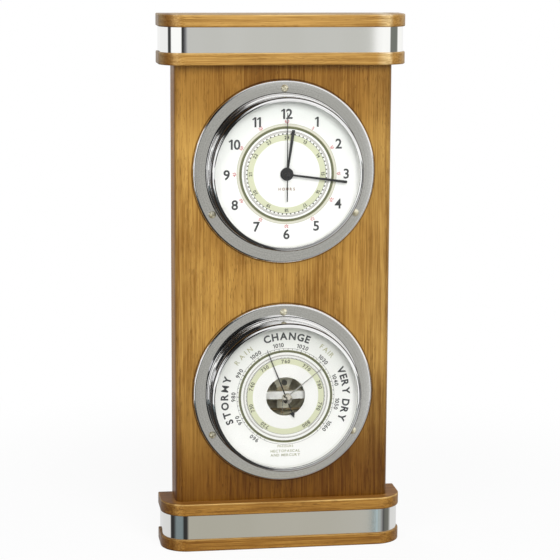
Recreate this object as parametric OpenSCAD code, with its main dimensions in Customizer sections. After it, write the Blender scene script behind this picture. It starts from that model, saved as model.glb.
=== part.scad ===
// Wall and shelf weather station: an oak case with capped ends, and two instruments in chromed
// brass housings let into its front, a quartz clock above an aneroid barometer.
// Origin: middle of the base's underside. +Z is up, the front faces -Y. Sizes in millimetres.

/* [Case] */
// Overall height of the case
total_h = 372; // [360:1:420]
// Width of the cap slabs
slab_w = 170; // [166:1:200]
// Depth of the cap slabs
slab_d = 36; // [34:1:48]
// Thickness of one cap slab
slab_t = 8.5; // [6:0.5:12]
// Radius of the slabs' front corners
slab_corner_r = 18.5; // [10:0.5:24]
// Rounding of the slabs' long edges
slab_edge_r = 0.8; // [0.4:0.1:2]
// Width of the panel between the caps
panel_w = 150; // [140:1:156]
// How far the panel's front lies behind the slabs' front
panel_setback = 8; // [4:0.5:10]
// Radius of the panel's two front edges
panel_edge_r = 5; // [2:0.5:8]

/* [Metal bands] */
// Height of the polished band between two slabs
band_h = 17; // [15:0.5:20]
// How far the band lies behind the slabs' edge
band_inset = 1.3; // [0.6:0.1:3]
// Thickness of the band's strip
band_t = 1; // [0.6:0.1:2]
// Glue line between the band and the wood inside it
glue_gap = 0.1; // [0.05:0.05:0.3]

/* [Joinery] */
// Diameter of the dowels that hold the caps
dowel_d = 8; // [6:1:10]
// Length of a dowel
dowel_l = 30; // [24:1:34]
// Distance between the two dowels of a cap
dowel_pitch = 100; // [90:1:110]
// Gap between a dowel and its hole, on the radius
dowel_fit = 0.05; // [0.02:0.01:0.1]

/* [Hanger] */
// Width of the keyhole plate in the top cap's back
hanger_w = 40; // [36:1:50]
// Thickness of the keyhole plate
hanger_t = 1.5; // [1:0.1:2.5]
// Diameter of the keyhole's round entry
keyhole_d = 8.4; // [7:0.1:9]
// Width of the keyhole's slot
keyhole_slot_w = 4.2; // [3.5:0.1:5]
// Depth of the pocket behind the plate
pocket_depth = 6; // [5:0.5:9]

/* [Instrument housings] */
// Share of the panel's free height above the clock's ring, in parts
part_above = 20; // [12:1:30]
// Share of it between the two rings, in parts
part_between = 57; // [40:1:70]
// Share of it below the barometer's ring, in parts
part_below = 27; // [16:1:40]
// Outer diameter of the cup that passes through the panel
cup_d = 102.4; // [98:0.2:106]
// Wall of the cup
cup_wall = 1.2; // [1:0.1:1.6]
// How far the cup's back lies inside the panel's back
cup_recess = 1.5; // [1.4:0.1:4]
// Gap between the cup and its hole in the panel, on the radius
cup_fit = 0.6; // [0.2:0.1:1.5]
// Width of the flat ring on the panel
flange_w = 9; // [7:0.5:10]
// Thickness of the flat ring
flange_t = 2; // [1.4:0.1:3]
// Rounding of the flat ring's rim
flange_rim_r = 0.6; // [0.3:0.1:1.2]
// Height of the bead at the foot of the housing
bead_h = 1.4; // [0.8:0.1:2]
// Width of the bead at the foot of the housing
bead_w = 0.8; // [0.4:0.1:1.5]
// Height of the dial's face above the panel
dial_h = 13.2; // [11:0.1:15]
// Thickness of a dial
dial_t = 0.8; // [0.5:0.1:1.2]
// Height of the ring between dial and glass
spacer_h = 3.8; // [3.8:0.1:6]
// Thickness of the glass
glass_t = 1.6; // [1.2:0.1:2.4]
// Thickness of the bezel's lip over the glass
lip_t = 1.2; // [0.8:0.1:2]
// Wall of the bezel at its shoulder
bezel_wall = 1.05; // [0.9:0.05:1.6]
// Extra wall of the bezel at its foot
bezel_flare = 0.8; // [0.2:0.1:1.2]
// Rounding of the bezel's shoulder
bezel_round = 2.6; // [2:0.1:2.8]
// Thread gap between bezel and cup, on the radius
thread_fit = 0.15; // [0.1:0.05:0.3]

/* [Housing screws] */
// Number of screws in a flat ring
flange_screws = 3; // [3:1:6]
// Distance of a screw from the flat ring's rim
screw_inset = 5.8; // [4:0.1:6]
// Diameter of the screw's domed head
screw_head_d = 5.2; // [4:0.1:6]
// Height of the screw's domed head
screw_head_h = 1.7; // [1.2:0.1:2.4]
// Diameter of the screw's shank
screw_d = 2.4; // [2:0.1:3]
// Depth that the screw reaches into the panel
screw_depth = 12; // [8:1:16]

/* [Clock] */
// Minutes after twelve that the hands show
shown_minutes = 16.3; // [0:0.1:60]
// Length of the hour hand
hour_hand_l = 30.3; // [24:0.1:34]
// Length of the minute hand
minute_hand_l = 41.5; // [36:0.1:44]
// Length of the second hand
second_hand_l = 41.8; // [36:0.1:44]
// Length of the second hand's tail
second_tail_l = 18.7; // [10:0.1:22]
// Wall of the square movement beside the cell's bay
movement_wall = 1.9; // [1.5:0.1:3]
// Thickness of the movement
movement_t = 15.5; // [15.2:0.1:17]
// Diameter of the movement's threaded bush
bush_d = 6.2; // [6:0.1:7]
// Diameter of the round nut on the dial
nut_d = 8.8; // [8:0.1:11]
// Diameter of the hand-setting knob
set_knob_d = 13; // [10:0.5:16]
// Diameter of the cell
cell_d = 14.2; // [13.5:0.1:14.5]
// Length of the cell with its button
cell_l = 50.5; // [49:0.1:50.5]

/* [Barometer] */
// Angle of the pointer from the dial's top, 2.7 degrees for each hectopascal
pointer_angle = -21.6; // [-143:0.1:127]
// Angle at which the set hand is left
set_hand_angle = 51.5; // [-150:0.5:150]
// Length of the pointer
pointer_l = 35.5; // [30:0.1:38]
// Length of the pointer's tail
pointer_tail_l = 16.3; // [12:0.1:20]
// Length of the set hand
set_hand_l = 32.4; // [28:0.1:36]
// Diameter of the set hand's knob
knob_d = 7; // [6:0.1:10]
// Diameter of the opening in the dial's middle
window_d = 27.2; // [24:0.2:32]
// Radius of the aneroid capsule
capsule_r = 22; // [18:0.5:23]
// Depth of one corrugation of the capsule
corrugation_depth = 0.9; // [0.4:0.1:1.2]
// Distance between two corrugations
corrugation_pitch = 4; // [3:0.2:5]
// Thickness of the main spring
main_spring_t = 1.1; // [0.8:0.1:1.4]
// Width of the main spring at its bend
main_spring_w = 26; // [20:1:30]
// Width of the main spring's tongue
tongue_w = 8; // [6:0.2:10]
// Width of the bridge that shows in the dial's opening
bridge_w = 5.3; // [4:0.1:7]
// Diameter of the pointer's arbor
arbor_d = 1; // [0.8:0.1:1.2]
// Length of the lever's arm, from its shaft to the chain
lever_arm_l = 10.7; // [9:0.1:11]
// Turns of the hairspring
hair_turns = 6; // [4:1:7]
// Distance between two turns of the hairspring
hair_pitch = 0.75; // [0.65:0.05:0.8]
// Thickness of the hairspring's strip
hair_t = 0.2; // [0.1:0.05:0.2]

/* [Hidden] */

$fn = 96;
eps = 0.5; // overrun of a cut past a face

// Case
cap_h = 2 * slab_t + band_h;
panel_front = -slab_d / 2 + panel_setback;
panel_back = slab_d / 2;
panel_depth = panel_back - panel_front;
panel_mid = (panel_front + panel_back) / 2;
panel_top = total_h - cap_h;
core_inset = band_inset + band_t + glue_gap;
dowel_in_panel = dowel_l / 2;
dowel_spare = 0.5;

// Housings, all measured from the panel's front, towards the viewer
cup_r = cup_d / 2;
cup_back = -(panel_depth - cup_recess);
cup_floor = cup_back + cup_wall;
dial_back = dial_h - dial_t;
glass_back = dial_h + spacer_h;
glass_front = glass_back + glass_t;
clamp_gap = 0.1;
lip_under = glass_front + clamp_gap;
lip_top = lip_under + lip_t;
bezel_in_r = cup_r + thread_fit;
bezel_r = bezel_in_r + bezel_wall;
bezel_foot_r = bezel_r + bezel_flare;
bezel_foot = flange_t + bead_h + clamp_gap;
lip_r = bezel_r - bezel_round;
bead_r = bezel_foot_r + bead_w;
flange_r = bead_r + flange_w;
free_h = panel_top - cap_h - 4 * flange_r;
part_sum = part_above + part_between + part_below;
clock_z = panel_top - flange_r - free_h * part_above / part_sum;
barometer_z = cap_h + flange_r + free_h * part_below / part_sum;
seat_gap = 0.1;
disc_r = cup_r - seat_gap;
spacer_top_r = lip_r + 0.1;
spacer_foot_r = lip_r - 0.4;
screw_ring_r = flange_r - screw_inset;
screw_slot_w = 0.7;
screw_slot_depth = 0.8;
screw_slot_turn = 20;
pilot_fit = 0.05;
pilot_spare = 1;
hole_fit = 0.1;
flange_hole_r = screw_d / 2 + 0.3;
small_head_t = 1.2;
small_slot_w = 0.6;
small_slot_depth = 0.5;

// Hanger
inlay_gap = 0.15;
hanger_h = band_h - 2 * inlay_gap;
hanger_z = panel_top + slab_t + band_h / 2;
keyhole_rise = 4;
keyhole_low_z = hanger_z - keyhole_rise / 4;
hanger_screw_inset = 5;
hanger_screw_x = hanger_w / 2 - hanger_screw_inset;
hanger_screw_r = 1.2;
hanger_head_r = 2.4;
hanger_cone_h = 1.3;
hanger_corner_r = 2;
hanger_screw_l = 12;
pocket_r = keyhole_d / 2 + 0.8;

// Clock: a stack on one axis
washer_t = 0.5;
washer_r = 8;
movement_front = dial_back - washer_t;
movement_back = movement_front - movement_t;
movement_corner_r = 4;
cover_t = 2;
cover_rim = 0.6;
nut_t = 1.3;
bush_r = bush_d / 2;
bush_top = dial_h + nut_t + 0.1;
hand_gap = 0.35;
hand_t = 0.3;
hour_hand_h = dial_h + nut_t + hand_gap;
minute_hand_h = hour_hand_h + hand_t + hand_gap;
second_hand_h = minute_hand_h + hand_t + hand_gap;
hour_eye_r = 4;
hour_root_w = 1.2;
hour_tip_w = 2.1;
minute_eye_r = 3.5;
minute_root_w = 1.3;
minute_tip_w = 1.7;
second_eye_r = 1.5;
second_root_w = 0.7;
second_tip_w = 0.5;
second_tail_w = 0.8;
running = 0.05; // play of a shaft in its bore, on the radius
press = 0.01; // what stays between a hand's eye and its arbor, on the radius
second_r = 0.5;
minute_r = 1.6;
tube_wall = 0.5;
tube_in_r = minute_r + running;
tube_r = tube_in_r + tube_wall;
tube_foot = movement_front - 4;
minute_hollow_foot = movement_front - 2;
knob_h = 4.4;
knob_gap = 0.3;
knob_grooves = 24;
knob_groove_r = 0.5;
knob_bottom = 1;
knob_foot = movement_back - knob_gap - knob_h;
cell_v = -17.6;
cell_fit = 0.45;
cell_button_l = 1;
cell_button_r = 2.7;
contact_t = 0.4;
contact_w = 8;
contact_l = 10;
bay_l = cell_l + 2 * (contact_t + cell_fit);
movement_w = bay_l + 2 * movement_wall;
cell_axis_h = movement_back + cell_d / 2 + 0.2;
back_window_r = movement_w / sqrt(2) + 0.9;
minute_angle = 6 * shown_minutes;
hour_angle = shown_minutes / 2;

// Barometer: the movement hangs on a plate inside the cup
plate_r = 42;
plate_t = 1.5;
post_h = 7.3;
post_r = 3;
post_ring_r = 34;
post_angles = [150, 270, 30];
post_screw_r = 1.2;
post_head_r = 2.4;
plate_back = cup_floor + post_h;
plate_front = plate_back + plate_t;
capsule_boss_h = 2;
capsule_t = 7;
capsule_back = plate_front + capsule_boss_h;
capsule_front = capsule_back + capsule_t;
capsule_mid = (capsule_back + capsule_front) / 2;
capsule_rim_w = 2;
capsule_rim_t = 1.2;
capsule_post_r = 2;
capsule_boss_r = 3;
spring_rise = 6.5;
leaf_under = capsule_front + spring_rise;
leaf_top = leaf_under + main_spring_t;
bend_reach = 9;
bend_v = capsule_r + bend_reach;
bend_r = (leaf_top - plate_front) / 2;
bend_h = (leaf_top + plate_front) / 2;
tongue_root_v = 3;
tongue_u = 0;
leg_start_v = capsule_r + 1.6;
foot_screw_u = 8;
foot_screw_v = leg_start_v + 3.6;
leaf_screw_u = 1;
leaf_screw_v = 7;
spring_screw_r = 1.9;
shaft_r = 0.9;
shaft_pin_r = 0.5;
shaft_v = -13.2;
tongue_clear = 2;
tongue_end_v = shaft_v + tongue_clear;
shaft_h = leaf_under - 3.9;
bracket_u = sqrt(pow(capsule_r, 2) - pow(shaft_v, 2)) + 4.4;
bracket_w = 4;
bracket_rise = 2;
crank_l = 3;
crank_spare = 0.8;
crank_w = 2;
crank_t = 0.9;
link_r = 0.5;
link_clearance = 1.1;
chain_w = 0.5;
chain_t = 0.4;
chain_link_l = 0.9;
chain_h = shaft_h + lever_arm_l;
chain_tail = 2.6;
drum_r = 0.7;
chain_u = -(drum_r + running + chain_t / 2);
arm_w = 2;
arm_t = 0.8;
arm_spare = 0.7;
fork_gap = 0.25;
pillar_gap = 5;
pillar_u = capsule_r + pillar_gap;
pillar_r = 2.4;
bar_t = 1.2;
upper_bar_t = 1.5;
lower_bar_under = leaf_top + 1.6;
lower_bar_w = 3.4;
upper_bar_under = chain_h + 1.9;
upper_bar_top = upper_bar_under + upper_bar_t;
bar_end = pillar_u + pillar_r + 0.6;
bridge_screw_r = 0.9;
bridge_head_r = 1.9;
arbor_r = arbor_d / 2;
arbor_foot = lower_bar_under - 0.3;
hair_h = lower_bar_under + bar_t + 0.9;
hair_w = 0.6;
collet_r = 1.2;
hair_in_r = collet_r + 0.3;
hair_out_r = hair_in_r + hair_turns * hair_pitch;
stud_r = 0.5;
hair_points = 24;
pointer_h = dial_h + 1;
pointer_t = 0.3;
pointer_hub_r = 1.7;
pointer_hub_h = 0.9;
pointer_root_w = 0.9;
pointer_tip_w = 0.4;
pointer_stem_w = 0.7;
arrow_l = 5;
arrow_w = 4.4;
arrow_notch = 1.3;
arbor_top = pointer_h + pointer_hub_h;
set_hand_h = glass_back - 0.8;
set_hand_t = 0.3;
set_eye_r = 2.2;
set_root_w = 0.9;
set_tip_w = 0.6;
set_stem_r = 1.2;
stem_fit = 0.1;
set_knob_foot = glass_front + 0.3;
set_knob_h = 4.1;
set_knob_grooves = 18;
set_groove_r = 0.35;
set_knob_ease = 0.8;
adjust_r = 1.5;
adjust_head_r = 2.4;
adjust_head_t = 1.6;
adjust_head_out = 0.6;
adjust_hole_r = 3;

// Colours
oak = [0.68, 0.47, 0.24];
chrome = [0.78, 0.78, 0.78];
steel = [0.68, 0.69, 0.7];
brass = [0.78, 0.64, 0.36];
black = [0.1, 0.1, 0.1];
white = [0.95, 0.95, 0.93];

// Places an instrument's piece: its own +Z points out of the panel, its +Y points up
module on_panel(z) {
  translate([0, panel_front, z]) rotate([90, 0, 0]) children();
}

module at_clock() {
  on_panel(clock_z) children();
}

module at_barometer() {
  on_panel(barometer_z) children();
}

// A ring or a disc between two heights
module ring(r, hole_r, from, to) {
  translate([0, 0, from]) difference() {
    cylinder(r = r, h = to - from);
    if (hole_r > 0) translate([0, 0, -eps]) cylinder(r = hole_r, h = to - from + 2 * eps);
  }
}

// A driver's slot in a head of radius r, whose face lies at z = 0 and looks up
module driver_slot(r, w, depth) {
  translate([-r - eps, -w / 2, -depth]) cube([2 * r + 2 * eps, w, depth + eps]);
}

// A flat slot outline along Y, with round ends of radius r about two centres l apart
module slot_outline(r, l) {
  circle(r = r);
  translate([0, l]) circle(r = r);
  translate([-r, 0]) square([2 * r, l]);
}

// A rectangle with all four corners round
module round_rectangle(w, h, r) {
  for (x = [-1, 1], y = [-1, 1]) translate([x * (w / 2 - r), y * (h / 2 - r)]) circle(r = r);
  square([w - 2 * r, h], center = true);
  square([w, h - 2 * r], center = true);
}

// The caps' plan: round front corners, square back corners
module cap_outline(inset, back = slab_d / 2) {
  w = slab_w - 2 * inset;
  r = slab_corner_r - inset;
  front = -slab_d / 2 + inset;
  for (side = [-1, 1]) translate([side * (w / 2 - r), front + r]) circle(r = r);
  translate([-w / 2, front + r]) square([w, back - front - r]);
  translate([-w / 2 + r, front]) square([w - 2 * r, r + 1]);
}

// Half of a slab's cross-section, from x = 0 out to its rounded edge
module slab_section(w) {
  e = slab_edge_r;
  square([w - e, slab_t]);
  translate([0, e]) square([w, slab_t - 2 * e]);
  for (y = [e, slab_t - e]) translate([w - e, y]) circle(r = e, $fn = 32);
}

// A slab with its front and side edges rounded over
module eased_slab() {
  r = slab_corner_r;
  inner_w = slab_w - 2 * r;
  corner_y = -slab_d / 2 + r;
  translate([-inner_w / 2, corner_y, 0]) cube([inner_w, slab_d - r, slab_t]);
  translate([inner_w / 2, corner_y, 0]) rotate([90, 0, -90]) linear_extrude(inner_w) slab_section(r);
  for (side = [0, 1]) mirror([side, 0, 0]) {
    translate([inner_w / 2, corner_y, 0]) rotate([0, 0, -90])
      rotate_extrude(angle = 90) slab_section(r);
    translate([inner_w / 2, slab_d / 2, 0]) rotate([90, 0, 0])
      linear_extrude(slab_d - r) slab_section(r);
  }
}

// Room for the dowels of a cap whose joint with the panel is at height z
module dowel_holes(z) {
  l = dowel_l + 2 * dowel_spare;
  for (side = [-1, 1])
    translate([side * dowel_pitch / 2, panel_mid, z - l / 2]) cylinder(r = dowel_d / 2 + dowel_fit, h = l);
}

module slab(z, joint_z) {
  color(oak) difference() {
    translate([0, 0, z]) eased_slab();
    dowel_holes(joint_z);
  }
}

module core(z, joint_z) {
  color(oak) difference() {
    translate([0, 0, z]) linear_extrude(band_h) cap_outline(core_inset);
    dowel_holes(joint_z);
    children();
  }
}

// One strip of polished metal, bent round the front and both sides
module band(z) {
  color(chrome) translate([0, 0, z]) linear_extrude(band_h) difference() {
    cap_outline(band_inset);
    cap_outline(band_inset + band_t, slab_d / 2 + 1);
  }
}

module panel_outline() {
  r = panel_edge_r;
  for (side = [-1, 1]) translate([side * (panel_w / 2 - r), panel_front + r]) circle(r = r);
  translate([-panel_w / 2, panel_front + r]) square([panel_w, panel_depth - r]);
  translate([-panel_w / 2 + r, panel_front]) square([panel_w - 2 * r, r + 1]);
}

// Places something at each screw of a flat ring, the first one at the top
module at_flange_screws() {
  for (i = [0 : flange_screws - 1]) rotate([0, 0, 90 + i * 360 / flange_screws])
    translate([screw_ring_r, 0, 0]) children();
}

module housing_holes() {
  translate([0, 0, -panel_depth - eps]) cylinder(r = cup_r + cup_fit, h = panel_depth + 2 * eps);
  at_flange_screws() translate([0, 0, -screw_depth - pilot_spare])
    cylinder(r = screw_d / 2 + pilot_fit, h = screw_depth + pilot_spare + eps);
}

// A notch right across the core for the plate, a pocket for the wall screw's head, and pilot holes
module hanger_mortise() {
  translate([0, panel_back, 0]) rotate([90, 0, 0]) {
    translate([0, hanger_z, 0])
      cube([hanger_w + 2 * inlay_gap, band_h + 2 * eps, 2 * hanger_t], center = true);
    translate([0, keyhole_low_z, 0]) linear_extrude(hanger_t + pocket_depth) slot_outline(pocket_r, keyhole_rise);
    for (side = [-1, 1]) translate([side * hanger_screw_x, hanger_z, 0])
      cylinder(r = hanger_screw_r + pilot_fit, h = hanger_screw_l + pilot_spare);
  }
}

module body_panel() {
  color(oak) difference() {
    translate([0, 0, cap_h]) linear_extrude(panel_top - cap_h) panel_outline();
    at_clock() housing_holes();
    at_barometer() housing_holes();
    dowel_holes(cap_h);
    dowel_holes(panel_top);
  }
}

module cap_dowels() {
  color(oak) for (side = [-1, 1], z = [cap_h, panel_top])
    translate([side * dowel_pitch / 2, panel_mid, z - dowel_in_panel]) cylinder(d = dowel_d, h = dowel_l);
}

module hanger_plate() {
  color(steel) translate([0, panel_back, 0]) rotate([90, 0, 0]) difference() {
    translate([0, hanger_z, 0])
      linear_extrude(hanger_t) round_rectangle(hanger_w, hanger_h, hanger_corner_r);
    translate([0, keyhole_low_z, -eps]) cylinder(d = keyhole_d, h = hanger_t + 2 * eps);
    translate([0, keyhole_low_z, -eps])
      linear_extrude(hanger_t + 2 * eps) slot_outline(keyhole_slot_w / 2, keyhole_rise);
    for (side = [-1, 1]) translate([side * hanger_screw_x, hanger_z, 0]) {
      translate([0, 0, -eps]) cylinder(r = hanger_screw_r + hole_fit, h = hanger_t + 2 * eps);
      cylinder(r1 = hanger_head_r + hole_fit, r2 = hanger_screw_r + hole_fit, h = hanger_cone_h);
    }
  }
}

module hanger_screws() {
  color(steel) translate([0, panel_back, 0]) rotate([90, 0, 0])
    for (side = [-1, 1]) translate([side * hanger_screw_x, hanger_z, 0]) difference() {
      union() {
        cylinder(r1 = hanger_head_r, r2 = hanger_screw_r, h = hanger_cone_h);
        cylinder(r = hanger_screw_r, h = hanger_screw_l);
      }
      mirror([0, 0, 1]) driver_slot(hanger_head_r, small_slot_w, small_slot_depth);
    }
}

// The spun housing: cup, flat ring and foot bead in one piece
module case_section(back_hole_r) {
  square_from = cup_r - cup_wall;
  translate([square_from, cup_back]) square([cup_wall, dial_back - cup_back]);
  translate([back_hole_r, cup_back]) square([cup_r - back_hole_r, cup_wall]);
  translate([square_from, 0]) square([flange_r - flange_rim_r - square_from, flange_t]);
  translate([square_from, 0]) square([flange_r - square_from, flange_t - flange_rim_r]);
  translate([flange_r - flange_rim_r, flange_t - flange_rim_r]) circle(r = flange_rim_r, $fn = 32);
  bead_round = bead_h / 2;
  translate([square_from, flange_t]) square([bead_r - bead_round - square_from, bead_h]);
  translate([square_from, flange_t - 0.1]) square([bead_r - square_from, bead_h - bead_round + 0.1]);
  translate([bead_r - bead_round, flange_t + bead_round]) circle(r = bead_round, $fn = 32);
}

module housing(back_hole_r) {
  difference() {
    rotate_extrude($fn = 180) case_section(back_hole_r);
    at_flange_screws() translate([0, 0, -eps]) cylinder(r = flange_hole_r, h = flange_t + 2 * eps);
    children();
  }
}

module clock_case() {
  color(chrome) at_clock() housing(back_window_r);
}

module barometer_case() {
  color(chrome) at_barometer() housing(0) {
    translate([0, 0, cup_back - eps]) cylinder(r = adjust_hole_r, h = cup_wall + 2 * eps);
    at_posts() translate([0, 0, cup_back - eps]) cylinder(r = post_screw_r + hole_fit, h = cup_wall + 2 * eps);
  }
}

// The bezel screws onto the cup and clamps glass, spacer ring and dial
module bezel() {
  rotate_extrude($fn = 180) difference() {
    union() {
      polygon([
        [lip_r, bezel_foot], [bezel_foot_r, bezel_foot],
        [bezel_r, lip_top - bezel_round], [lip_r, lip_top - bezel_round]
      ]);
      translate([lip_r, lip_top - bezel_round]) intersection() {
        circle(r = bezel_round, $fn = 64);
        square(bezel_round);
      }
    }
    translate([lip_r - 1, bezel_foot - eps]) square([bezel_in_r - lip_r + 1, lip_under - bezel_foot + eps]);
  }
}

module spacer_ring() {
  rotate_extrude($fn = 180) polygon([
    [spacer_foot_r, dial_h], [disc_r, dial_h], [disc_r, glass_back], [spacer_top_r, glass_back]
  ]);
}

module flange_screw() {
  dome_r = (pow(screw_head_d / 2, 2) + pow(screw_head_h, 2)) / (2 * screw_head_h);
  difference() {
    union() {
      translate([0, 0, -screw_depth]) cylinder(d = screw_d, h = screw_depth + flange_t);
      translate([0, 0, flange_t]) rotate_extrude($fn = 48) intersection() {
        translate([0, screw_head_h - dome_r]) circle(r = dome_r, $fn = 96);
        square([screw_head_d, screw_head_h]);
      }
    }
    translate([0, 0, flange_t + screw_head_h]) rotate([0, 0, screw_slot_turn])
      driver_slot(screw_head_d / 2, screw_slot_w, screw_slot_depth);
  }
}

module flange_screw_set() {
  at_flange_screws() flange_screw();
}

// A hand that lies along +Y: a round eye, and a blade that changes its width evenly
module hand(eye_r, hole_r, l, root_w, tip_w, h, t) {
  translate([0, 0, h]) linear_extrude(t) difference() {
    union() {
      circle(r = eye_r, $fn = 48);
      polygon([[-root_w / 2, 0], [root_w / 2, 0], [tip_w / 2, l], [-tip_w / 2, l]]);
    }
    circle(r = hole_r, $fn = 48);
  }
}

module clock_dial() {
  color(white) at_clock() ring(disc_r, bush_r + 0.15, dial_back, dial_h);
}

module movement_outline(inset) {
  round_rectangle(movement_w - 2 * inset, movement_w - 2 * inset, movement_corner_r - inset);
}

// Room for the cell, open towards the back
module cell_bay() {
  w = cell_d + 2 * cell_fit;
  translate([-bay_l / 2, cell_v - w / 2, movement_back - eps]) cube([bay_l, w, cell_axis_h - movement_back + eps]);
  translate([-bay_l / 2, cell_v, cell_axis_h]) rotate([0, 90, 0]) cylinder(d = w, h = bay_l);
}

module movement_housing() {
  color(black) at_clock() difference() {
    union() {
      translate([0, 0, movement_back + cover_t]) linear_extrude(movement_t - cover_t) movement_outline(0);
      translate([0, 0, movement_front - 1]) cylinder(r = bush_r, h = bush_top - movement_front + 1);
    }
    translate([0, 0, movement_back]) cylinder(r = minute_r + running, h = 2 * movement_t);
    translate([0, 0, tube_foot - 0.2]) cylinder(r = tube_r + running, h = movement_t);
    cell_bay();
  }
}

module movement_cover() {
  color([0.14, 0.14, 0.15]) at_clock() difference() {
    translate([0, 0, movement_back]) linear_extrude(cover_t) movement_outline(cover_rim);
    translate([0, 0, movement_back - eps]) cylinder(r = minute_r + running, h = cover_t + 2 * eps);
    cell_bay();
  }
}

module movement_cell() {
  color([0.55, 0.57, 0.6]) at_clock() translate([-cell_l / 2, cell_v, cell_axis_h]) rotate([0, 90, 0]) {
    cylinder(d = cell_d, h = cell_l - cell_button_l);
    cylinder(r = cell_button_r, h = cell_l);
  }
}

module cell_contacts() {
  color(steel) at_clock() for (side = [-1, 1]) translate([side * (bay_l - contact_t) / 2, cell_v, cell_axis_h - 1])
    cube([contact_t, contact_w, contact_l], center = true);
}

module movement_washer() {
  color(black) at_clock() ring(washer_r, bush_r + 0.15, movement_front, dial_back);
}

module movement_nut() {
  color(black) at_clock() ring(nut_d / 2, bush_r + running, dial_h, dial_h + nut_t);
}

module hour_tube() {
  color(brass) at_clock() ring(tube_r, tube_in_r, tube_foot, hour_hand_h + hand_t);
}

module minute_arbor() {
  color(brass) at_clock() difference() {
    foot = knob_foot + knob_bottom;
    translate([0, 0, foot]) cylinder(r = minute_r, h = minute_hand_h + hand_t - foot);
    translate([0, 0, minute_hollow_foot]) cylinder(r = second_r + running, h = movement_t);
  }
}

module second_arbor() {
  foot = minute_hollow_foot + 0.2;
  color(steel) at_clock() translate([0, 0, foot]) cylinder(r = second_r, h = second_hand_h + 0.5 - foot);
}

module hour_hand() {
  color(black) at_clock() rotate([0, 0, -hour_angle])
    hand(hour_eye_r, tube_r + press, hour_hand_l, hour_root_w, hour_tip_w, hour_hand_h, hand_t);
}

module minute_hand() {
  color(black) at_clock() rotate([0, 0, -minute_angle])
    hand(minute_eye_r, minute_r + press, minute_hand_l, minute_root_w, minute_tip_w, minute_hand_h, hand_t);
}

module second_hand() {
  color(black) at_clock() {
    hand(second_eye_r, second_r + press, second_hand_l, second_root_w, second_tip_w, second_hand_h, hand_t);
    rotate([0, 0, 180])
      hand(second_eye_r, second_r + press, second_tail_l, second_root_w, second_tail_w, second_hand_h, hand_t);
  }
}

// A round knob with grooves on its rim, standing on z = 0
module grooved_knob(r, h, grooves, groove_r) {
  difference() {
    cylinder(r = r, h = h);
    for (i = [0 : grooves - 1]) rotate([0, 0, i * 360 / grooves])
      translate([r + groove_r * 0.3, 0, -eps]) cylinder(r = groove_r, h = h + 2 * eps, $fn = 16);
  }
}

module time_set_knob() {
  color(black) at_clock() difference() {
    translate([0, 0, knob_foot]) grooved_knob(set_knob_d / 2, knob_h, knob_grooves, knob_groove_r);
    translate([0, 0, knob_foot + knob_bottom]) cylinder(r = minute_r + press, h = knob_h);
  }
}

module barometer_dial() {
  color(white) at_barometer() ring(disc_r, window_d / 2, dial_back, dial_h);
}

module at_posts() {
  for (a = post_angles) rotate([0, 0, a]) translate([post_ring_r, 0, 0]) children();
}

module aneroid_base_plate() {
  color(steel) at_barometer() difference() {
    ring(plate_r, adjust_r + running, plate_back, plate_front);
    at_posts() translate([0, 0, plate_back - eps]) cylinder(r = post_screw_r + hole_fit, h = plate_t + 2 * eps);
  }
}

module aneroid_posts() {
  color(brass) at_barometer() at_posts() ring(post_r, post_screw_r + pilot_fit, cup_floor, plate_back);
}

module aneroid_post_screws() {
  color(steel) at_barometer() at_posts() translate([0, 0, cup_back]) difference() {
    union() {
      translate([0, 0, -small_head_t]) cylinder(r = post_head_r, h = small_head_t);
      cylinder(r = post_screw_r, h = plate_front - cup_back - hole_fit);
    }
    translate([0, 0, -small_head_t]) mirror([0, 0, 1]) driver_slot(post_head_r, small_slot_w, small_slot_depth);
  }
}

// Height of the capsule's corrugated skin above its middle, at a distance r from its axis
function skin(r) = capsule_t / 2 - corrugation_depth / 2 * (1 - cos(360 * (r - capsule_post_r) / corrugation_pitch));

module aneroid_capsule() {
  wave_end = capsule_r - capsule_rim_w;
  steps = 48;
  radii = [for (i = [0 : steps]) capsule_post_r + (wave_end - capsule_post_r) * i / steps];
  upper = [for (r = radii) [r, capsule_mid + skin(r)]];
  lower = [for (i = [steps : -1 : 0]) [radii[i], capsule_mid - skin(radii[i])]];
  rim = [for (side = [1, -1]) [capsule_r, capsule_mid + side * capsule_rim_t / 2]];
  color([0.74, 0.66, 0.5]) at_barometer() {
    rotate_extrude() polygon(concat([[0, capsule_front]], upper, rim, lower, [[0, capsule_back]]));
    translate([0, 0, plate_front]) cylinder(r = capsule_boss_r, h = capsule_boss_h + corrugation_depth);
    translate([0, 0, capsule_mid]) cylinder(r = capsule_post_r, h = leaf_under - capsule_mid);
  }
}

// Plan of the main spring: wide at its bend, a narrow tongue over the capsule's middle
module main_spring_plan() {
  far = bend_v + bend_r + 1;
  polygon([
    [tongue_u - tongue_w / 2, tongue_end_v], [tongue_u + tongue_w / 2, tongue_end_v],
    [tongue_u + tongue_w / 2, tongue_root_v], [main_spring_w / 2, capsule_r], [main_spring_w / 2, far],
    [-main_spring_w / 2, far], [-main_spring_w / 2, capsule_r], [tongue_u - tongue_w / 2, tongue_root_v]
  ]);
}

// Side view of the main spring: [v, h], a foot on the plate, a bend and a long leaf
module main_spring_side() {
  translate([tongue_end_v, leaf_under]) square([bend_v - tongue_end_v, main_spring_t]);
  translate([leg_start_v, plate_front]) square([bend_v - leg_start_v, main_spring_t]);
  translate([bend_v, bend_h]) intersection() {
    difference() {
      circle(r = bend_r);
      circle(r = bend_r - main_spring_t);
    }
    translate([0, -bend_r]) square([bend_r, 2 * bend_r]);
  }
}

module main_spring_screw_places() {
  for (side = [-1, 1])
    translate([side * foot_screw_u, foot_screw_v, plate_front + main_spring_t]) children();
  translate([leaf_screw_u, leaf_screw_v, leaf_top]) children();
}

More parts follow.
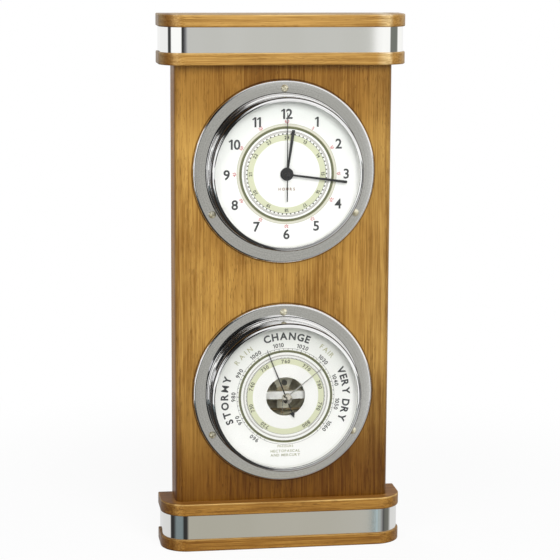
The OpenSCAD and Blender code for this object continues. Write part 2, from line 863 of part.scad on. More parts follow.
module main_spring() {
  color(steel) at_barometer() intersection() {
    translate([-main_spring_w, 0, 0]) rotate([90, 0, 90]) linear_extrude(2 * main_spring_w) main_spring_side();
    translate([0, 0, plate_back]) linear_extrude(leaf_top - plate_back + eps) main_spring_plan();
  }
}

module main_spring_screws() {
  color([0.3, 0.3, 0.31]) at_barometer() main_spring_screw_places() difference() {
    cylinder(r = spring_screw_r, h = small_head_t);
    translate([0, 0, small_head_t]) driver_slot(spring_screw_r, small_slot_w, small_slot_depth);
  }
}

// The pin at the tongue's end that presses on the lever's crank
module spring_link() {
  color(brass) at_barometer() translate([tongue_u, shaft_v + crank_l, shaft_h + crank_t / 2 + link_clearance])
    cylinder(r = link_r, h = leaf_under - shaft_h - crank_t / 2 - link_clearance);
}

module lever_brackets() {
  h = shaft_h + bracket_rise - plate_front;
  color(brass) at_barometer() difference() {
    for (side = [-1, 1]) translate([side * bracket_u - bracket_w / 2, shaft_v - bracket_w / 2, plate_front])
      cube([bracket_w, bracket_w, h]);
    translate([-bracket_u - bracket_w, shaft_v, shaft_h]) rotate([0, 90, 0])
      cylinder(r = shaft_pin_r + running, h = 2 * (bracket_u + bracket_w));
  }
}

// A rocking shaft with a short crank and a long arm whose forked tip takes the chain
module rocking_lever() {
  body_l = bracket_u - bracket_w / 2 - 0.3;
  pin_l = bracket_u + bracket_w / 2 - 0.5;
  arm_l = lever_arm_l + arm_spare;
  color(brass) at_barometer() difference() {
    union() {
      translate([-body_l, shaft_v, shaft_h]) rotate([0, 90, 0]) cylinder(r = shaft_r, h = 2 * body_l);
      translate([-pin_l, shaft_v, shaft_h]) rotate([0, 90, 0]) cylinder(r = shaft_pin_r, h = 2 * pin_l);
      translate([tongue_u - crank_w / 2, shaft_v, shaft_h - crank_t / 2])
        cube([crank_w, crank_l + crank_spare, crank_t]);
      translate([chain_u - arm_w / 2, shaft_v - arm_t / 2, shaft_h]) cube([arm_w, arm_t, arm_l]);
    }
    translate([chain_u - chain_t / 2 - fork_gap, shaft_v - arm_t, chain_h - chain_w / 2 - 2 * fork_gap])
      cube([chain_t + 2 * fork_gap, 2 * arm_t, lever_arm_l]);
  }
}

module bridge_pillars() {
  color(brass) at_barometer() for (side = [-1, 1]) translate([side * pillar_u, 0, 0]) {
    ring(pillar_r, bridge_screw_r + pilot_fit, plate_front, lower_bar_under);
    ring(pillar_r, bridge_screw_r + pilot_fit, lower_bar_under + bar_t, upper_bar_under);
  }
}

// A flat bar across the movement, with a bearing hole in its middle
module bridge_bar(w, from, t) {
  translate([0, 0, from]) linear_extrude(t) difference() {
    union() {
      square([2 * pillar_u, w], center = true);
      for (side = [-1, 1]) translate([side * pillar_u, 0]) circle(r = bar_end - pillar_u);
    }
    circle(r = arbor_r + running);
    for (side = [-1, 1]) translate([side * pillar_u, 0]) circle(r = bridge_screw_r + hole_fit);
  }
}

module bridge_lower_bar() {
  color(steel) at_barometer() {
    bridge_bar(lower_bar_w, lower_bar_under, bar_t);
    translate([hair_out_r + stud_r + 0.1, 0, lower_bar_under + bar_t - 0.1])
      cylinder(r = stud_r, h = hair_h + hair_w - lower_bar_under - bar_t + 0.2);
  }
}

module bridge_upper_bar() {
  color(steel) at_barometer() bridge_bar(bridge_w, upper_bar_under, upper_bar_t);
}

module bridge_screws() {
  l = upper_bar_top - plate_front - 3;
  color([0.3, 0.3, 0.31]) at_barometer() for (side = [-1, 1])
    translate([side * pillar_u, 0, upper_bar_top]) difference() {
      union() {
        cylinder(r = bridge_head_r, h = small_head_t);
        translate([0, 0, -l]) cylinder(r = bridge_screw_r, h = l + small_head_t / 2);
      }
      translate([0, 0, small_head_t]) driver_slot(bridge_head_r, small_slot_w, small_slot_depth);
    }
}

module pointer_arbor() {
  color(brass) at_barometer() {
    translate([0, 0, arbor_foot]) cylinder(r = arbor_r, h = arbor_top - arbor_foot);
    translate([0, 0, hair_h - 0.1]) cylinder(r = collet_r, h = hair_w + 0.2);
    translate([0, 0, hair_h]) cylinder(r = drum_r, h = upper_bar_under - 0.3 - hair_h);
  }
}

function spiral_point(i, offset) =
  let (a = i * 360 / hair_points, r = hair_in_r + hair_pitch * a / 360 + offset)
  r * [cos(a), sin(a)];

// One unbroken strip wound by a formula, from the collet out to the stud
module hairspring() {
  last = hair_turns * hair_points;
  outer = [for (i = [0 : last]) spiral_point(i, hair_t / 2)];
  inner = [for (i = [last : -1 : 0]) spiral_point(i, -hair_t / 2)];
  gap = min([for (i = [0 : last - hair_points])
    norm(spiral_point(i + hair_points, -hair_t / 2) - spiral_point(i, hair_t / 2))]);
  echo(least_gap_of_hairspring = gap);
  color(brass) at_barometer() translate([0, 0, hair_h]) linear_extrude(hair_w) polygon(concat(outer, inner));
}

// Flat links from the drum's side to the lever's fork
module transmission_chain() {
  l = -shaft_v + chain_tail;
  links = floor(l / chain_link_l);
  step = l / links;
  color(steel) at_barometer() translate([chain_u, 0, chain_h]) rotate([90, 0, 0])
    for (i = [0 : links - 1]) {
      w = i % 2 == 0 ? chain_t : chain_t / 2;
      translate([-w / 2, -chain_w / 2, i * step]) cube([w, chain_w, step + (i < links - 1 ? 0.1 : 0)]);
    }
}

module pressure_pointer() {
  root = pointer_root_w / 2;
  tip = pointer_tip_w / 2;
  stem = pointer_stem_w / 2;
  wing = arrow_w / 2;
  neck = pointer_tail_l - arrow_l;
  notch = neck + arrow_notch;
  color(black) at_barometer() rotate([0, 0, -pointer_angle]) {
    translate([0, 0, pointer_h]) linear_extrude(pointer_t) difference() {
      union() {
        circle(r = pointer_hub_r, $fn = 48);
        polygon([[-root, 0], [root, 0], [tip, pointer_l], [-tip, pointer_l]]);
        polygon([[-stem, 0], [stem, 0], [stem, -notch - stem], [-stem, -notch - stem]]);
        polygon([[0, -pointer_tail_l], [wing, -neck], [0, -notch], [-wing, -neck]]);
      }
      circle(r = arbor_r + press, $fn = 48);
    }
    ring(pointer_hub_r - 0.3, arbor_r + press, pointer_h + pointer_t / 2, pointer_h + pointer_hub_h);
  }
}

module barometer_glass() {
  color([0.85, 0.9, 0.92, 0.3]) at_barometer() ring(disc_r, set_stem_r + stem_fit, glass_back, glass_front);
}

module set_hand() {
  color(chrome) at_barometer() rotate([0, 0, -set_hand_angle])
    hand(set_eye_r, set_stem_r + press, set_hand_l, set_root_w, set_tip_w, set_hand_h, set_hand_t);
}

module set_hand_knob() {
  r = knob_d / 2;
  grip_h = set_knob_h - set_knob_ease;
  color(chrome) at_barometer() {
    translate([0, 0, set_hand_h]) cylinder(r = set_stem_r, h = set_knob_foot - set_hand_h + eps);
    translate([0, 0, set_knob_foot]) {
      grooved_knob(r, grip_h, set_knob_grooves, set_groove_r);
      translate([0, 0, grip_h]) cylinder(r1 = r - set_groove_r, r2 = r - set_knob_ease, h = set_knob_ease);
    }
  }
}

module adjusting_screw() {
  foot = cup_back - adjust_head_out;
  color(brass) at_barometer() difference() {
    union() {
      translate([0, 0, foot]) cylinder(r = adjust_head_r, h = adjust_head_t);
      translate([0, 0, cup_back]) cylinder(r = adjust_r, h = plate_front - 0.3 - cup_back);
    }
    translate([0, 0, foot]) mirror([0, 0, 1]) driver_slot(adjust_head_r, screw_slot_w, screw_slot_depth);
  }
}

slab(0, cap_h);  // base_lower_slab
core(slab_t, cap_h);  // base_core
band(slab_t);  // base_band
slab(slab_t + band_h, cap_h);  // base_upper_slab
body_panel();
slab(panel_top, panel_top);  // top_lower_slab
core(panel_top + slab_t, panel_top) hanger_mortise();  // top_core
band(panel_top + slab_t);  // top_band
slab(panel_top + slab_t + band_h, panel_top);  // top_upper_slab
cap_dowels();
hanger_plate();
hanger_screws();
clock_case();
clock_dial();
color(chrome) at_clock() spacer_ring();  // clock_spacer_ring
color([0.85, 0.9, 0.92, 0.3]) at_clock() ring(disc_r, 0, glass_back, glass_front);  // clock_glass
color(chrome) at_clock() bezel();  // clock_bezel
color(brass) at_clock() flange_screw_set();  // clock_flange_screws
movement_housing();
movement_cover();
movement_cell();
cell_contacts();
movement_washer();
movement_nut();
hour_tube();
minute_arbor();
second_arbor();
hour_hand();
minute_hand();
second_hand();
time_set_knob();
barometer_case();
barometer_dial();
color(chrome) at_barometer() spacer_ring();  // barometer_spacer_ring
barometer_glass();
color(chrome) at_barometer() bezel();  // barometer_bezel
color(brass) at_barometer() flange_screw_set();  // barometer_flange_screws
aneroid_base_plate();
aneroid_posts();
aneroid_post_screws();
aneroid_capsule();
main_spring();
main_spring_screws();
spring_link();
lever_brackets();
rocking_lever();
bridge_pillars();
bridge_lower_bar();
bridge_upper_bar();
bridge_screws();
pointer_arbor();
hairspring();
transmission_chain();
pressure_pointer();
set_hand();
set_hand_knob();
adjusting_screw();
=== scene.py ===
import math

import bmesh
import bpy
from mathutils import Matrix, Vector


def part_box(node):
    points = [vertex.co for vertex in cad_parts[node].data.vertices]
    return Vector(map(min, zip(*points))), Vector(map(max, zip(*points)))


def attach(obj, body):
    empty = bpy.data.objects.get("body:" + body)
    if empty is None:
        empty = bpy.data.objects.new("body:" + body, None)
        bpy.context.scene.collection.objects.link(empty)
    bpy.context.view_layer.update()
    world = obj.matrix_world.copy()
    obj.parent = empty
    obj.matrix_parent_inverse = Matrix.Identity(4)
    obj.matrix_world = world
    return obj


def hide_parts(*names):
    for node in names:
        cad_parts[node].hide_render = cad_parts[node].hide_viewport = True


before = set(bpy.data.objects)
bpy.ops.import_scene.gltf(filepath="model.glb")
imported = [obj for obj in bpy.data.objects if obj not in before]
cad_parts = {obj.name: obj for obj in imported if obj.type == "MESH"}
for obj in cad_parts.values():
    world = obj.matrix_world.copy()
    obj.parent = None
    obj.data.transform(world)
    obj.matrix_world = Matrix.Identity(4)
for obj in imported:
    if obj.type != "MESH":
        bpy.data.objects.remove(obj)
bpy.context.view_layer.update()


# Cap slabs: four boards of solid oak with the grain running across the case. The front corners
# are sawn round, the long edges eased with a small cutter, and the boards varnished.
SLAB_LOW, SLAB_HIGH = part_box("base_lower_slab")
SLAB_W, SLAB_D, SLAB_T = SLAB_HIGH - SLAB_LOW
SLAB_CORNER, SLAB_EASE = 0.0185, 0.0008


class Strand:
    """A value on its way through a material's nodes; arithmetic on it adds the Math nodes."""

    def __init__(self, tree, socket=None):
        self.tree = tree
        self.socket = socket

    def node(self, kind, settings=None, sockets=None, out=0):
        """Adds one node: its settings first, a ramp's stops among them, then its sockets."""
        made = self.tree.nodes.new(kind)
        for name, value in (settings or {}).items():
            if name != "stops":
                setattr(made, name, value)
                continue
            stops = made.color_ramp.elements
            for stop, (place, colour) in zip((stops[0], stops[1]), (value[0], value[-1])):
                stop.position, stop.color = place, colour
            for place, colour in value[1:-1]:
                stops.new(place).color = colour
        for name, value in (sockets or {}).items():
            if isinstance(value, Strand):
                self.tree.links.new(value.socket, made.inputs[name])
            else:
                made.inputs[name].default_value = value
        return Strand(self.tree, made.outputs[out]) if made.outputs else self

    def math(self, operation, *others):
        return self.node("ShaderNodeMath", {"operation": operation},
                         dict(enumerate((self, *others))))

    def __add__(self, other):
        return self.math("ADD", other)

    __radd__ = __add__

    def __sub__(self, other):
        return self.math("SUBTRACT", other)

    def __rsub__(self, other):
        return self * -1 + other

    def __mul__(self, other):
        return self.math("MULTIPLY", other)

    __rmul__ = __mul__

    def __truediv__(self, other):
        return self.math("DIVIDE", other)

    def __gt__(self, other):
        return self.math("GREATER_THAN", other)

    def between(self, low, high):
        """0 below low and 1 above high, with a soft step in between."""
        return self.node("ShaderNodeMapRange", {"interpolation_type": "SMOOTHSTEP"},
                         {"Value": self, "From Min": low, "From Max": high})

    def within(self, low, full, fade, high):
        """1 from full to fade, sinking softly to 0 at low and at high."""
        return self.between(low, full) * (1 - self.between(fade, high))

    def vector(self, operation, *others, out=0):
        return self.node("ShaderNodeVectorMath", {"operation": operation},
                         dict(enumerate((self, *others))), out)

    def times(self, x, y, z):
        """A place stretched by one factor per axis."""
        return self.vector("MULTIPLY", (x, y, z))

    def length(self):
        return self.vector("LENGTH", out="Value")

    def from_axis(self, z):
        """How far a place is from the axis of the instrument at this height."""
        return self.vector("SUBTRACT", (0, 0, z)).times(1, 0, 1).length()

    def noise(self, detail=2.0, roughness=0.5):
        """Cloudy noise about one unit in size, read at this place."""
        return self.node("ShaderNodeTexNoise", None,
                         {"Vector": self, "Scale": 1.0, "Detail": detail, "Roughness": roughness})

    def axis(self, name):
        return self.node("ShaderNodeSeparateXYZ", None, {0: self}, name)

    def mixed(self, first, second, blend="MIX"):
        """Two colours, mixed by this value."""
        return self.node("ShaderNodeMix", {"data_type": "RGBA", "blend_type": blend},
                         {0: self, 6: first, 7: second}, 2)

    def bump(self, depth, strength=1.0):
        return self.node("ShaderNodeBump", None,
                         {"Height": self, "Distance": depth, "Strength": strength})


def paint(red, green, blue):
    """A colour as it is seen, 0 to 255, as the linear values a shader takes."""
    seen = [part / 255 for part in (red, green, blue)]
    return (*[part / 12.92 if part < 0.04 else ((part + 0.055) / 1.055) ** 2.4 for part in seen], 1)


def begin_finish(name):
    """An empty material, and the object's own place to start its pattern from."""
    finish = bpy.data.materials.new(name)
    finish.use_nodes = True
    finish.node_tree.nodes.clear()
    place = Strand(finish.node_tree).node("ShaderNodeTexCoord", None, None, "Object")
    return finish, place


def end_finish(place, sockets):
    """Closes a material with one Principled shader."""
    place.node("ShaderNodeOutputMaterial", None,
               {"Surface": place.node("ShaderNodeBsdfPrincipled", None, sockets)})


UPRIGHT, ACROSS = (0, 0, 0), (0, math.pi / 2, 0)


def oak(name, grain, shift, paints, ring_gap, painted_shades=(), seam=None, housings=(),
        broad=1.2, fine=2.4, lines=1.2):
    """Varnished oak in three paints: its pale wood, its deep wood and its pores.

    Each shade is a painted light or shade on the wood: an axis, where along it a tint begins
    and is whole, and the tint. broad, fine and lines say how strongly the figure, the fibres and the
    streaks show.
    """
    pale, deep, pore = paints
    finish, place = begin_finish(name)
    board = place
    if seam is not None:
        # a second leaf of veneer begins at the seam, cut from another part of the log
        leaf = place.axis("X") > seam
        board = place.vector("ADD", leaf.node("ShaderNodeCombineXYZ", None,
                                              {0: leaf * 0.013, 2: leaf * 0.31}))
    board = board.node("ShaderNodeMapping", None,
                       {"Vector": board, "Rotation": grain, "Location": shift})
    wander = board.times(60, 60, 6).noise(3.0)
    heart = board.times(1, 1, 0.05).length()
    rings = ((heart + wander * 0.006) / ring_gap).math("FRACT")
    late = rings.within(0.35, 0.95, 0.95, 1.0)
    fibres = board.times(1900, 1900, 26).noise(3.0, 0.7)
    streaks = board.times(620, 620, 9).noise(2.0, 0.6)
    pores = (board.times(2300, 2300, 170).noise(1.0).between(0.58, 0.66)
             * board.times(230, 230, 16).noise(2.0).between(0.35, 0.65))
    figure = board.times(34, 34, 13).noise(4.0, 0.62)
    tone = (0.5 + broad * (figure - 0.5) + fine * (fibres - 0.5) + lines * (streaks - 0.5)
            - 0.16 * (late - 0.4))
    colour = tone.between(-0.1, 1.1).mixed(deep, pale)
    colour = (pores * 0.55).mixed(colour, pore)
    # painted light and shade, laid on one tint after another
    for axis, start, end, tint in painted_shades:
        level = place.axis(axis).between(start, end)
        colour = level.mixed(colour, tint, "MULTIPLY")
    for z, edge in housings:
        # a painted shadow darkens the wood for a millimetre round each housing's ring, on the front
        # alone
        painted_ring_shadow = (place.from_axis(z).between(edge + 0.0011, edge + 0.0002)
                    * (place.axis("Y") * -1 > 0))
        colour = painted_ring_shadow.mixed(colour, (0.30, 0.24, 0.18, 1), "MULTIPLY")
    if seam is not None:
        line = 1 - (place.axis("X") - seam).math("ABSOLUTE").between(0.0, 0.0003)
        colour = (line * 0.35).mixed(colour, pore)
    end_finish(place, {
        "Base Color": colour, "Roughness": 0.42 + 0.14 * pores + 0.08 * (fibres - 0.5),
        "Normal": (fibres * 0.4 - pores).bump(0.00005, 0.5), "Specular IOR Level": 0.1,
        "Coat Weight": 0.22, "Coat Roughness": 0.16})
    return finish


def finish_piece(bm, name, finish, body, nodes=(), angle=35):
    """Makes a shaped bmesh a smooth-shaded piece, on its body and in place of its CAD nodes."""
    mesh = bpy.data.meshes.new(name)
    bm.to_mesh(mesh)
    bm.free()
    mesh.materials.append(finish)
    mesh.shade_smooth()
    mesh.set_sharp_from_angle(angle=math.radians(angle))
    piece = bpy.data.objects.new(name, mesh)
    bpy.context.scene.collection.objects.link(piece)
    flat = piece.modifiers.new("flat_faces_stay_flat", "WEIGHTED_NORMAL")
    flat.keep_sharp = True
    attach(piece, body)
    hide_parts(*nodes)
    return piece


def cap_block(foot, height, inset, corner):
    """A block in the caps' plan, its two upright front edges bevelled round."""
    bm = bmesh.new()
    bmesh.ops.create_cube(bm, size=1)
    width, depth = SLAB_W - 2 * inset, SLAB_D - inset
    bmesh.ops.scale(bm, vec=(width, depth, height), verts=bm.verts)
    bmesh.ops.translate(bm, vec=(0, inset / 2, foot + height / 2), verts=bm.verts)
    upright = [edge for edge in bm.edges
               if all(vert.co.y < 0 for vert in edge.verts)
               and abs(edge.verts[0].co.z - edge.verts[1].co.z) > height / 2]
    bmesh.ops.bevel(bm, geom=upright, offset=corner, affect="EDGES", segments=28, profile=0.5,
                    material=-1)
    return bm


def rims(bm, levels):
    """The edges that run round the front and sides at these heights; the back's stay sharp."""
    return [edge for edge in bm.edges
            if any(all(abs(vert.co.z - level) < 1e-6 for vert in edge.verts) for level in levels)
            and any(vert.co.y < SLAB_D / 2 - 0.0001 for vert in edge.verts)]


LOW_OAK = paint(168, 124, 56), paint(114, 72, 22), paint(72, 40, 12)
HIGH_OAK = paint(184, 144, 78), paint(134, 96, 42), paint(92, 60, 22)
# painted highlight and shade on the round corners, where the coat would mirror the lamps: a pale line,
# then a dark turn, to left and right
LOW_CORNER_PAINTED_LIGHT = (("X", -0.0700, -0.0735, (1.10, 1.16, 1.3, 1)),
               ("X", -0.0735, -0.0785, (0.50, 0.42, 0.32, 1)),
               ("X", 0.0740, 0.0770, (0.86, 0.82, 0.74, 1)))
HIGH_CORNER_PAINTED_LIGHT = (("X", -0.0705, -0.0740, (1.06, 1.12, 1.4, 1)),
                ("X", -0.0740, -0.0785, (0.50, 0.40, 0.28, 1)),
                ("X", -0.0805, -0.0840, (1.4, 1.8, 2.6, 1)),
                ("X", 0.0610, 0.0690, (1.5, 1.9, 3.4, 1)),
                ("X", 0.0712, 0.0742, (0.60, 0.46, 0.26, 1)),
                ("X", 0.0785, 0.0825, (1.2, 1.35, 1.8, 1)))
# no tint, and the painted shadow along each slab's lower edge
UNTINTED, PAINTED_UNDER_EDGE_SHADOW = (1, 1, 1, 1), (0.66, 0.60, 0.45, 1)
# each slab's oak, the painted highlight of its eased upper edge and the painted shade of its upper
# face, and its corners' painted light and shade
SLAB_LOOKS = {
    "base_lower_slab": (LOW_OAK, (1.3, 1.5, 2.2, 1), UNTINTED, LOW_CORNER_PAINTED_LIGHT),
    "base_upper_slab": (LOW_OAK, (1.7, 2.2, 4.0, 1), (0.60, 0.42, 0.24, 1), LOW_CORNER_PAINTED_LIGHT),
    "top_lower_slab": (HIGH_OAK, (1.3, 1.45, 2.0, 1), UNTINTED, HIGH_CORNER_PAINTED_LIGHT),
    "top_upper_slab": (HIGH_OAK, (1.3, 1.45, 2.0, 1), UNTINTED, HIGH_CORNER_PAINTED_LIGHT)}

for number, (node, (paints, painted_edge_highlight, painted_face_shade, corners)) in enumerate(SLAB_LOOKS.items()):
    foot, top = (corner.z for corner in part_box(node))
    board = cap_block(foot, SLAB_T, 0, SLAB_CORNER)
    bmesh.ops.bevel(board, geom=rims(board, (foot, top)), offset=SLAB_EASE,
                    affect="EDGES", segments=5, profile=0.5, material=-1)
    # painted highlight on the eased top edge, painted shade on the upper face, painted shadow along the
    # lower edge, then the corners' painted light and shade
    painted_shades = (("Z", top - 0.0012, top - 0.0006, painted_edge_highlight), ("Z", top - 0.0002, top, painted_face_shade),
              ("Z", foot + 0.0012, foot + 0.0003, PAINTED_UNDER_EDGE_SHADOW), *corners)
    # each board's pattern starts elsewhere, so that no two are cut alike
    wood = oak(f"varnished_oak_slab_{number + 1}", ACROSS,
               (0.043 + 0.021 * number, 0.052, 0.37 * number), paints, 0.0042, painted_shades)
    finish_piece(board, f"oak_{node}", wood, "station", [node])


# Cap cores, dowels and hanger: a core of plain oak fills each metal band, four beech dowels pin
# the caps to the panel, and a zinc-plated keyhole plate is screwed into the top core's back.
def dress(finish, *nodes):
    """Gives CAD nodes whose shape is already right their finish."""
    for node in nodes:
        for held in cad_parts[node].material_slots:
            held.material = finish


def metal(name, colour, worn, roughness, rough_change, scratch, cloud, metallic=1.0):
    """Metal whose colour and polish change softly, with fine tool marks.

    scratch is how deep the marks look, cloud how many patches of wear there are to the metre.
    """
    finish, place = begin_finish(name)
    patches = place.times(cloud, cloud, cloud).noise(4.0, 0.6)
    marks = place.times(2500, 2500, 2500).noise(2.0, 0.7)
    end_finish(place, {
        "Base Color": patches.between(0.35, 0.7).mixed(colour, worn), "Metallic": metallic,
        "Roughness": roughness + rough_change * (patches - 0.5 + 0.6 * (marks - 0.5)),
        "Normal": marks.bump(0.00002, scratch)})
    return finish


CORE_OAK = paint(200, 168, 118), paint(168, 132, 82), paint(128, 96, 58)
BEECH = paint(214, 184, 142), paint(192, 158, 112), paint(160, 124, 82)
dress(oak("plain_oak_core", ACROSS, (0.03, 0.06, 1.7), CORE_OAK, 0.0035), "base_core", "top_core")
dress(oak("beech_dowel", UPRIGHT, (0.05, 0.02, 2.3), BEECH, 0.0028), "cap_dowels")
dress(metal("zinc_plating", paint(196, 200, 204), paint(168, 172, 178), 0.34, 0.16, 0.3, 160),
      "hanger_plate", "hanger_screws")


# Metal bands: a strip of polished stainless steel, one millimetre thick, bent round the front
# and sides of each cap between its two slabs and glued to the core.
BAND_INSET, BAND_T = 0.0013, 0.001


def polished_strip():
    """Rolled and buffed strip: long faint waves that bend what it mirrors."""
    finish, place = begin_finish("polished_steel_strip")
    waves = place.times(26, 26, 3).noise(1.0)
    buffing = place.times(60, 60, 5200).noise(2.0, 0.7)
    end_finish(place, {
        "Base Color": waves.between(0.3, 0.7).mixed((0.93, 0.93, 0.90, 1), (0.97, 0.97, 0.95, 1)),
        "Metallic": 1.0, "Roughness": 0.03 + 0.02 * (buffing - 0.5),
        "Normal": (waves * 3 + buffing * 0.05).bump(0.00001, 0.5)})
    return finish


strip_finish = polished_strip()
for node in ("base_band", "top_band"):
    low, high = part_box(node)
    strip = cap_block(low.z, high.z - low.z, BAND_INSET, SLAB_CORNER - BAND_INSET)
    away = [face for face in strip.faces
            if abs(face.normal.z) > 0.9 or face.normal.y > 0.9]
    bmesh.ops.delete(strip, geom=away, context="FACES")
    bmesh.ops.solidify(strip, geom=strip.faces[:], thickness=BAND_T)
    bmesh.ops.recalc_face_normals(strip, faces=strip.faces)
    finish_piece(strip, f"polished_{node}", strip_finish, "station", [node])


# Panel: a board of engineered oak faced with two leaves of veneer that meet a little right of
# the middle. Its front edges are rounded, and both housings pass right through it.
CLOCK_Z, BAROMETER_Z = (sum(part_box(node), Vector()).z / 2
                        for node in ("clock_case", "barometer_case"))
RING_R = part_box("clock_case")[1].x
VENEER_SEAM = 0.0022
PANEL_OAK = paint(178, 136, 66), paint(118, 78, 27), paint(72, 42, 12)
# painted light and shade: darker toward the base, a painted shadow under the top cap, a painted sheen
# paler toward both sides, and painted shade then a pale painted rim on the rounded left edge
PANEL_PAINTED_SHADING = (
    ("Z", 0.150, 0.036, (0.42, 0.31, 0.15, 1)), ("Z", 0.275, 0.320, (0.66, 0.59, 0.50, 1)),
    ("X", -0.046, -0.064, (1.14, 1.20, 1.32, 1)), ("X", 0.050, 0.070, (1.0, 1.06, 1.2, 1)),
    ("X", -0.0735, -0.0745, (0.84, 0.76, 0.60, 1)), ("X", -0.0747, -0.0750, (1.25, 1.15, 0.95, 1)))
dress(oak("varnished_oak_panel", UPRIGHT, (0.061, 0.047, 0.9), PANEL_OAK, 0.0052, PANEL_PAINTED_SHADING,
          VENEER_SEAM, ((CLOCK_Z, RING_R), (BAROMETER_Z, RING_R)), broad=1.6, fine=2.0, lines=0.9),
      "body_panel")


# Housings: each instrument sits in a cup spun from brass sheet with a flat ring and a foot bead,
# all polished and chromed. The clock's cup is open behind, the barometer's is closed.
MM = 0.001
PANEL_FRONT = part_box("body_panel")[0].y
# the sizes of the instruments, in millimetres, heights counted from the panel's front
CUP_R, CUP_WALL, CUP_BACK = 51.2, 1.2, -26.5
FLANGE_R, FLANGE_T, FLANGE_EASE = RING_R / MM, 2.0, 1.5
BEAD_R, BEAD_H = 54.0, 1.4
DIAL_BACK, DIAL_FACE = 12.4, 13.2


def onto_panel(z):
    """From an instrument's own millimetres (right, up, out of the panel) to the case's metres."""
    return (Matrix.Translation((0, PANEL_FRONT, z)) @ Matrix.Rotation(math.pi / 2, 4, "X")
            @ Matrix.Scale(MM, 4))


def turned(profile, rounded=(), steps=192, closed=True):
    """Spins a profile of (radius, height) points; rounded names points and their radii."""
    bm = bmesh.new()
    corners = [bm.verts.new((r, 0, h)) for r, h in profile]
    for first, second in zip(corners, corners[1:] + (corners[:1] if closed else [])):
        bm.edges.new((first, second))
    for index, radius in rounded:
        bmesh.ops.bevel(bm, geom=[corners[index]], offset=radius, offset_type="OFFSET",
                        affect="VERTICES", segments=7, profile=0.5, material=-1)
    bmesh.ops.spin(bm, geom=bm.verts[:] + bm.edges[:], cent=(0, 0, 0), axis=(0, 0, 1),
                   dvec=(0, 0, 0), angle=2 * math.pi, steps=steps, use_merge=True)
    bmesh.ops.remove_doubles(bm, verts=bm.verts, dist=0.0005)
    bmesh.ops.recalc_face_normals(bm, faces=bm.faces)
    return bm


def instrument_piece(bm, z, name, finish, body, nodes=(), angle=35):
    bmesh.ops.transform(bm, matrix=onto_panel(z), verts=bm.verts)
    return finish_piece(bm, name, finish, body, nodes, angle)


def spun_chrome(name, z):
    """Chrome over spun brass: faint rings about the instrument's centre show under the polish."""
    finish, place = begin_finish(name)
    radius = place.from_axis(z)
    rings = radius.node("ShaderNodeCombineXYZ", None, {0: radius * 1900}).noise(2.0, 0.7)
    speck = place.times(1100, 1100, 1100).noise(3.0, 0.7)
    shade = 0.5 + 1.4 * (rings - 0.5) + 1.0 * (speck - 0.5)
    polish = shade.between(0.0, 1.0).mixed((0.74, 0.74, 0.74, 1), (1.0, 1.0, 0.99, 1))
    # a painted dark line stands for the shade and dark reflection in the corner between flat ring and
    # bead
    corner = (radius - (BEAD_R + 0.15) * MM).math("ABSOLUTE").between(0.0001, 0.0003)
    end_finish(place, {
        "Base Color": corner.mixed((0.10, 0.10, 0.10, 1), polish),
        "Metallic": 1.0, "Roughness": 0.035 + 0.03 * rings, "Normal": rings.bump(0.000002, 0.3)})
    return finish


for node, z, back_hole in (("clock_case", CLOCK_Z, 40.5), ("barometer_case", BAROMETER_Z, 3.0)):
    cup = turned([(back_hole, CUP_BACK), (CUP_R, CUP_BACK), (CUP_R, 0), (FLANGE_R, 0),
                  (FLANGE_R, FLANGE_T), (BEAD_R, FLANGE_T), (BEAD_R, FLANGE_T + BEAD_H),
                  (CUP_R, FLANGE_T + BEAD_H), (CUP_R, DIAL_BACK), (CUP_R - CUP_WALL, DIAL_BACK),
                  (CUP_R - CUP_WALL, CUP_BACK + CUP_WALL), (back_hole, CUP_BACK + CUP_WALL)],
                 [(1, 1.0), (4, FLANGE_EASE), (6, 0.65)])
    instrument_piece(cup, z, f"spun_{node}", spun_chrome(f"chrome_of_{node}", z), "station",
                     [node])


# Ring screws: three brass wood screws with domed, slotted heads hold each flat ring, and with it
# the whole housing, on the panel.
dress(metal("polished_brass_screw", paint(242, 238, 216), paint(196, 186, 150), 0.16, 0.10, 0.2, 300,
            metallic=0.65), "clock_flange_screws", "barometer_flange_screws")


# Bezels: a turned and chromed ring that screws onto the cup and clamps the glass, with a round
# shoulder and a thin lip; under the glass a bright conical ring keeps it off the dial.
BEZEL_FOOT, BEZEL_FOOT_R, BEZEL_IN_R = 3.5, 53.2, 51.35
BEZEL_R, SHOULDER_R, LIP_R, LIP_UNDER, LIP_TOP = 52.4, 2.6, 49.8, 18.7, 19.9
CONE_FOOT_R, CONE_TOP_R, CONE_OUT_R, GLASS_BACK = 49.4, 49.9, 51.1, 17.0
# where the painted dark line on the bezel lies: its radius, its width and the height it begins at
LINE_R, LINE_W, LINE_FOOT = 52.0, 0.84, 17.32


def bezel_chrome(name, z):
    """Bright chrome with a painted dark line at the foot of the round shoulder, for the dark reflection
    there.
    """
    finish, place = begin_finish(name)
    # the painted dark line: a dark reflection laid on as a ring of colour, above the line's foot
    off_line = (place.from_axis(z) - LINE_R * MM).math("ABSOLUTE")
    line = ((1 - off_line.between(LINE_W / 2 * MM - 0.0001, LINE_W / 2 * MM))
            * (PANEL_FRONT - LINE_FOOT * MM - place.axis("Y") > 0))
    wear = place.times(40, 40, 40).noise(4.0, 0.6).between(0.35, 0.7)
    end_finish(place, {
        "Base Color": line.mixed(wear.mixed((0.96, 0.96, 0.95, 1), (0.90, 0.90, 0.89, 1)),
                                 (0.10, 0.10, 0.105, 1)),
        "Metallic": 1.0, "Roughness": 0.02 + 0.02 * wear + 0.2 * line})
    return finish


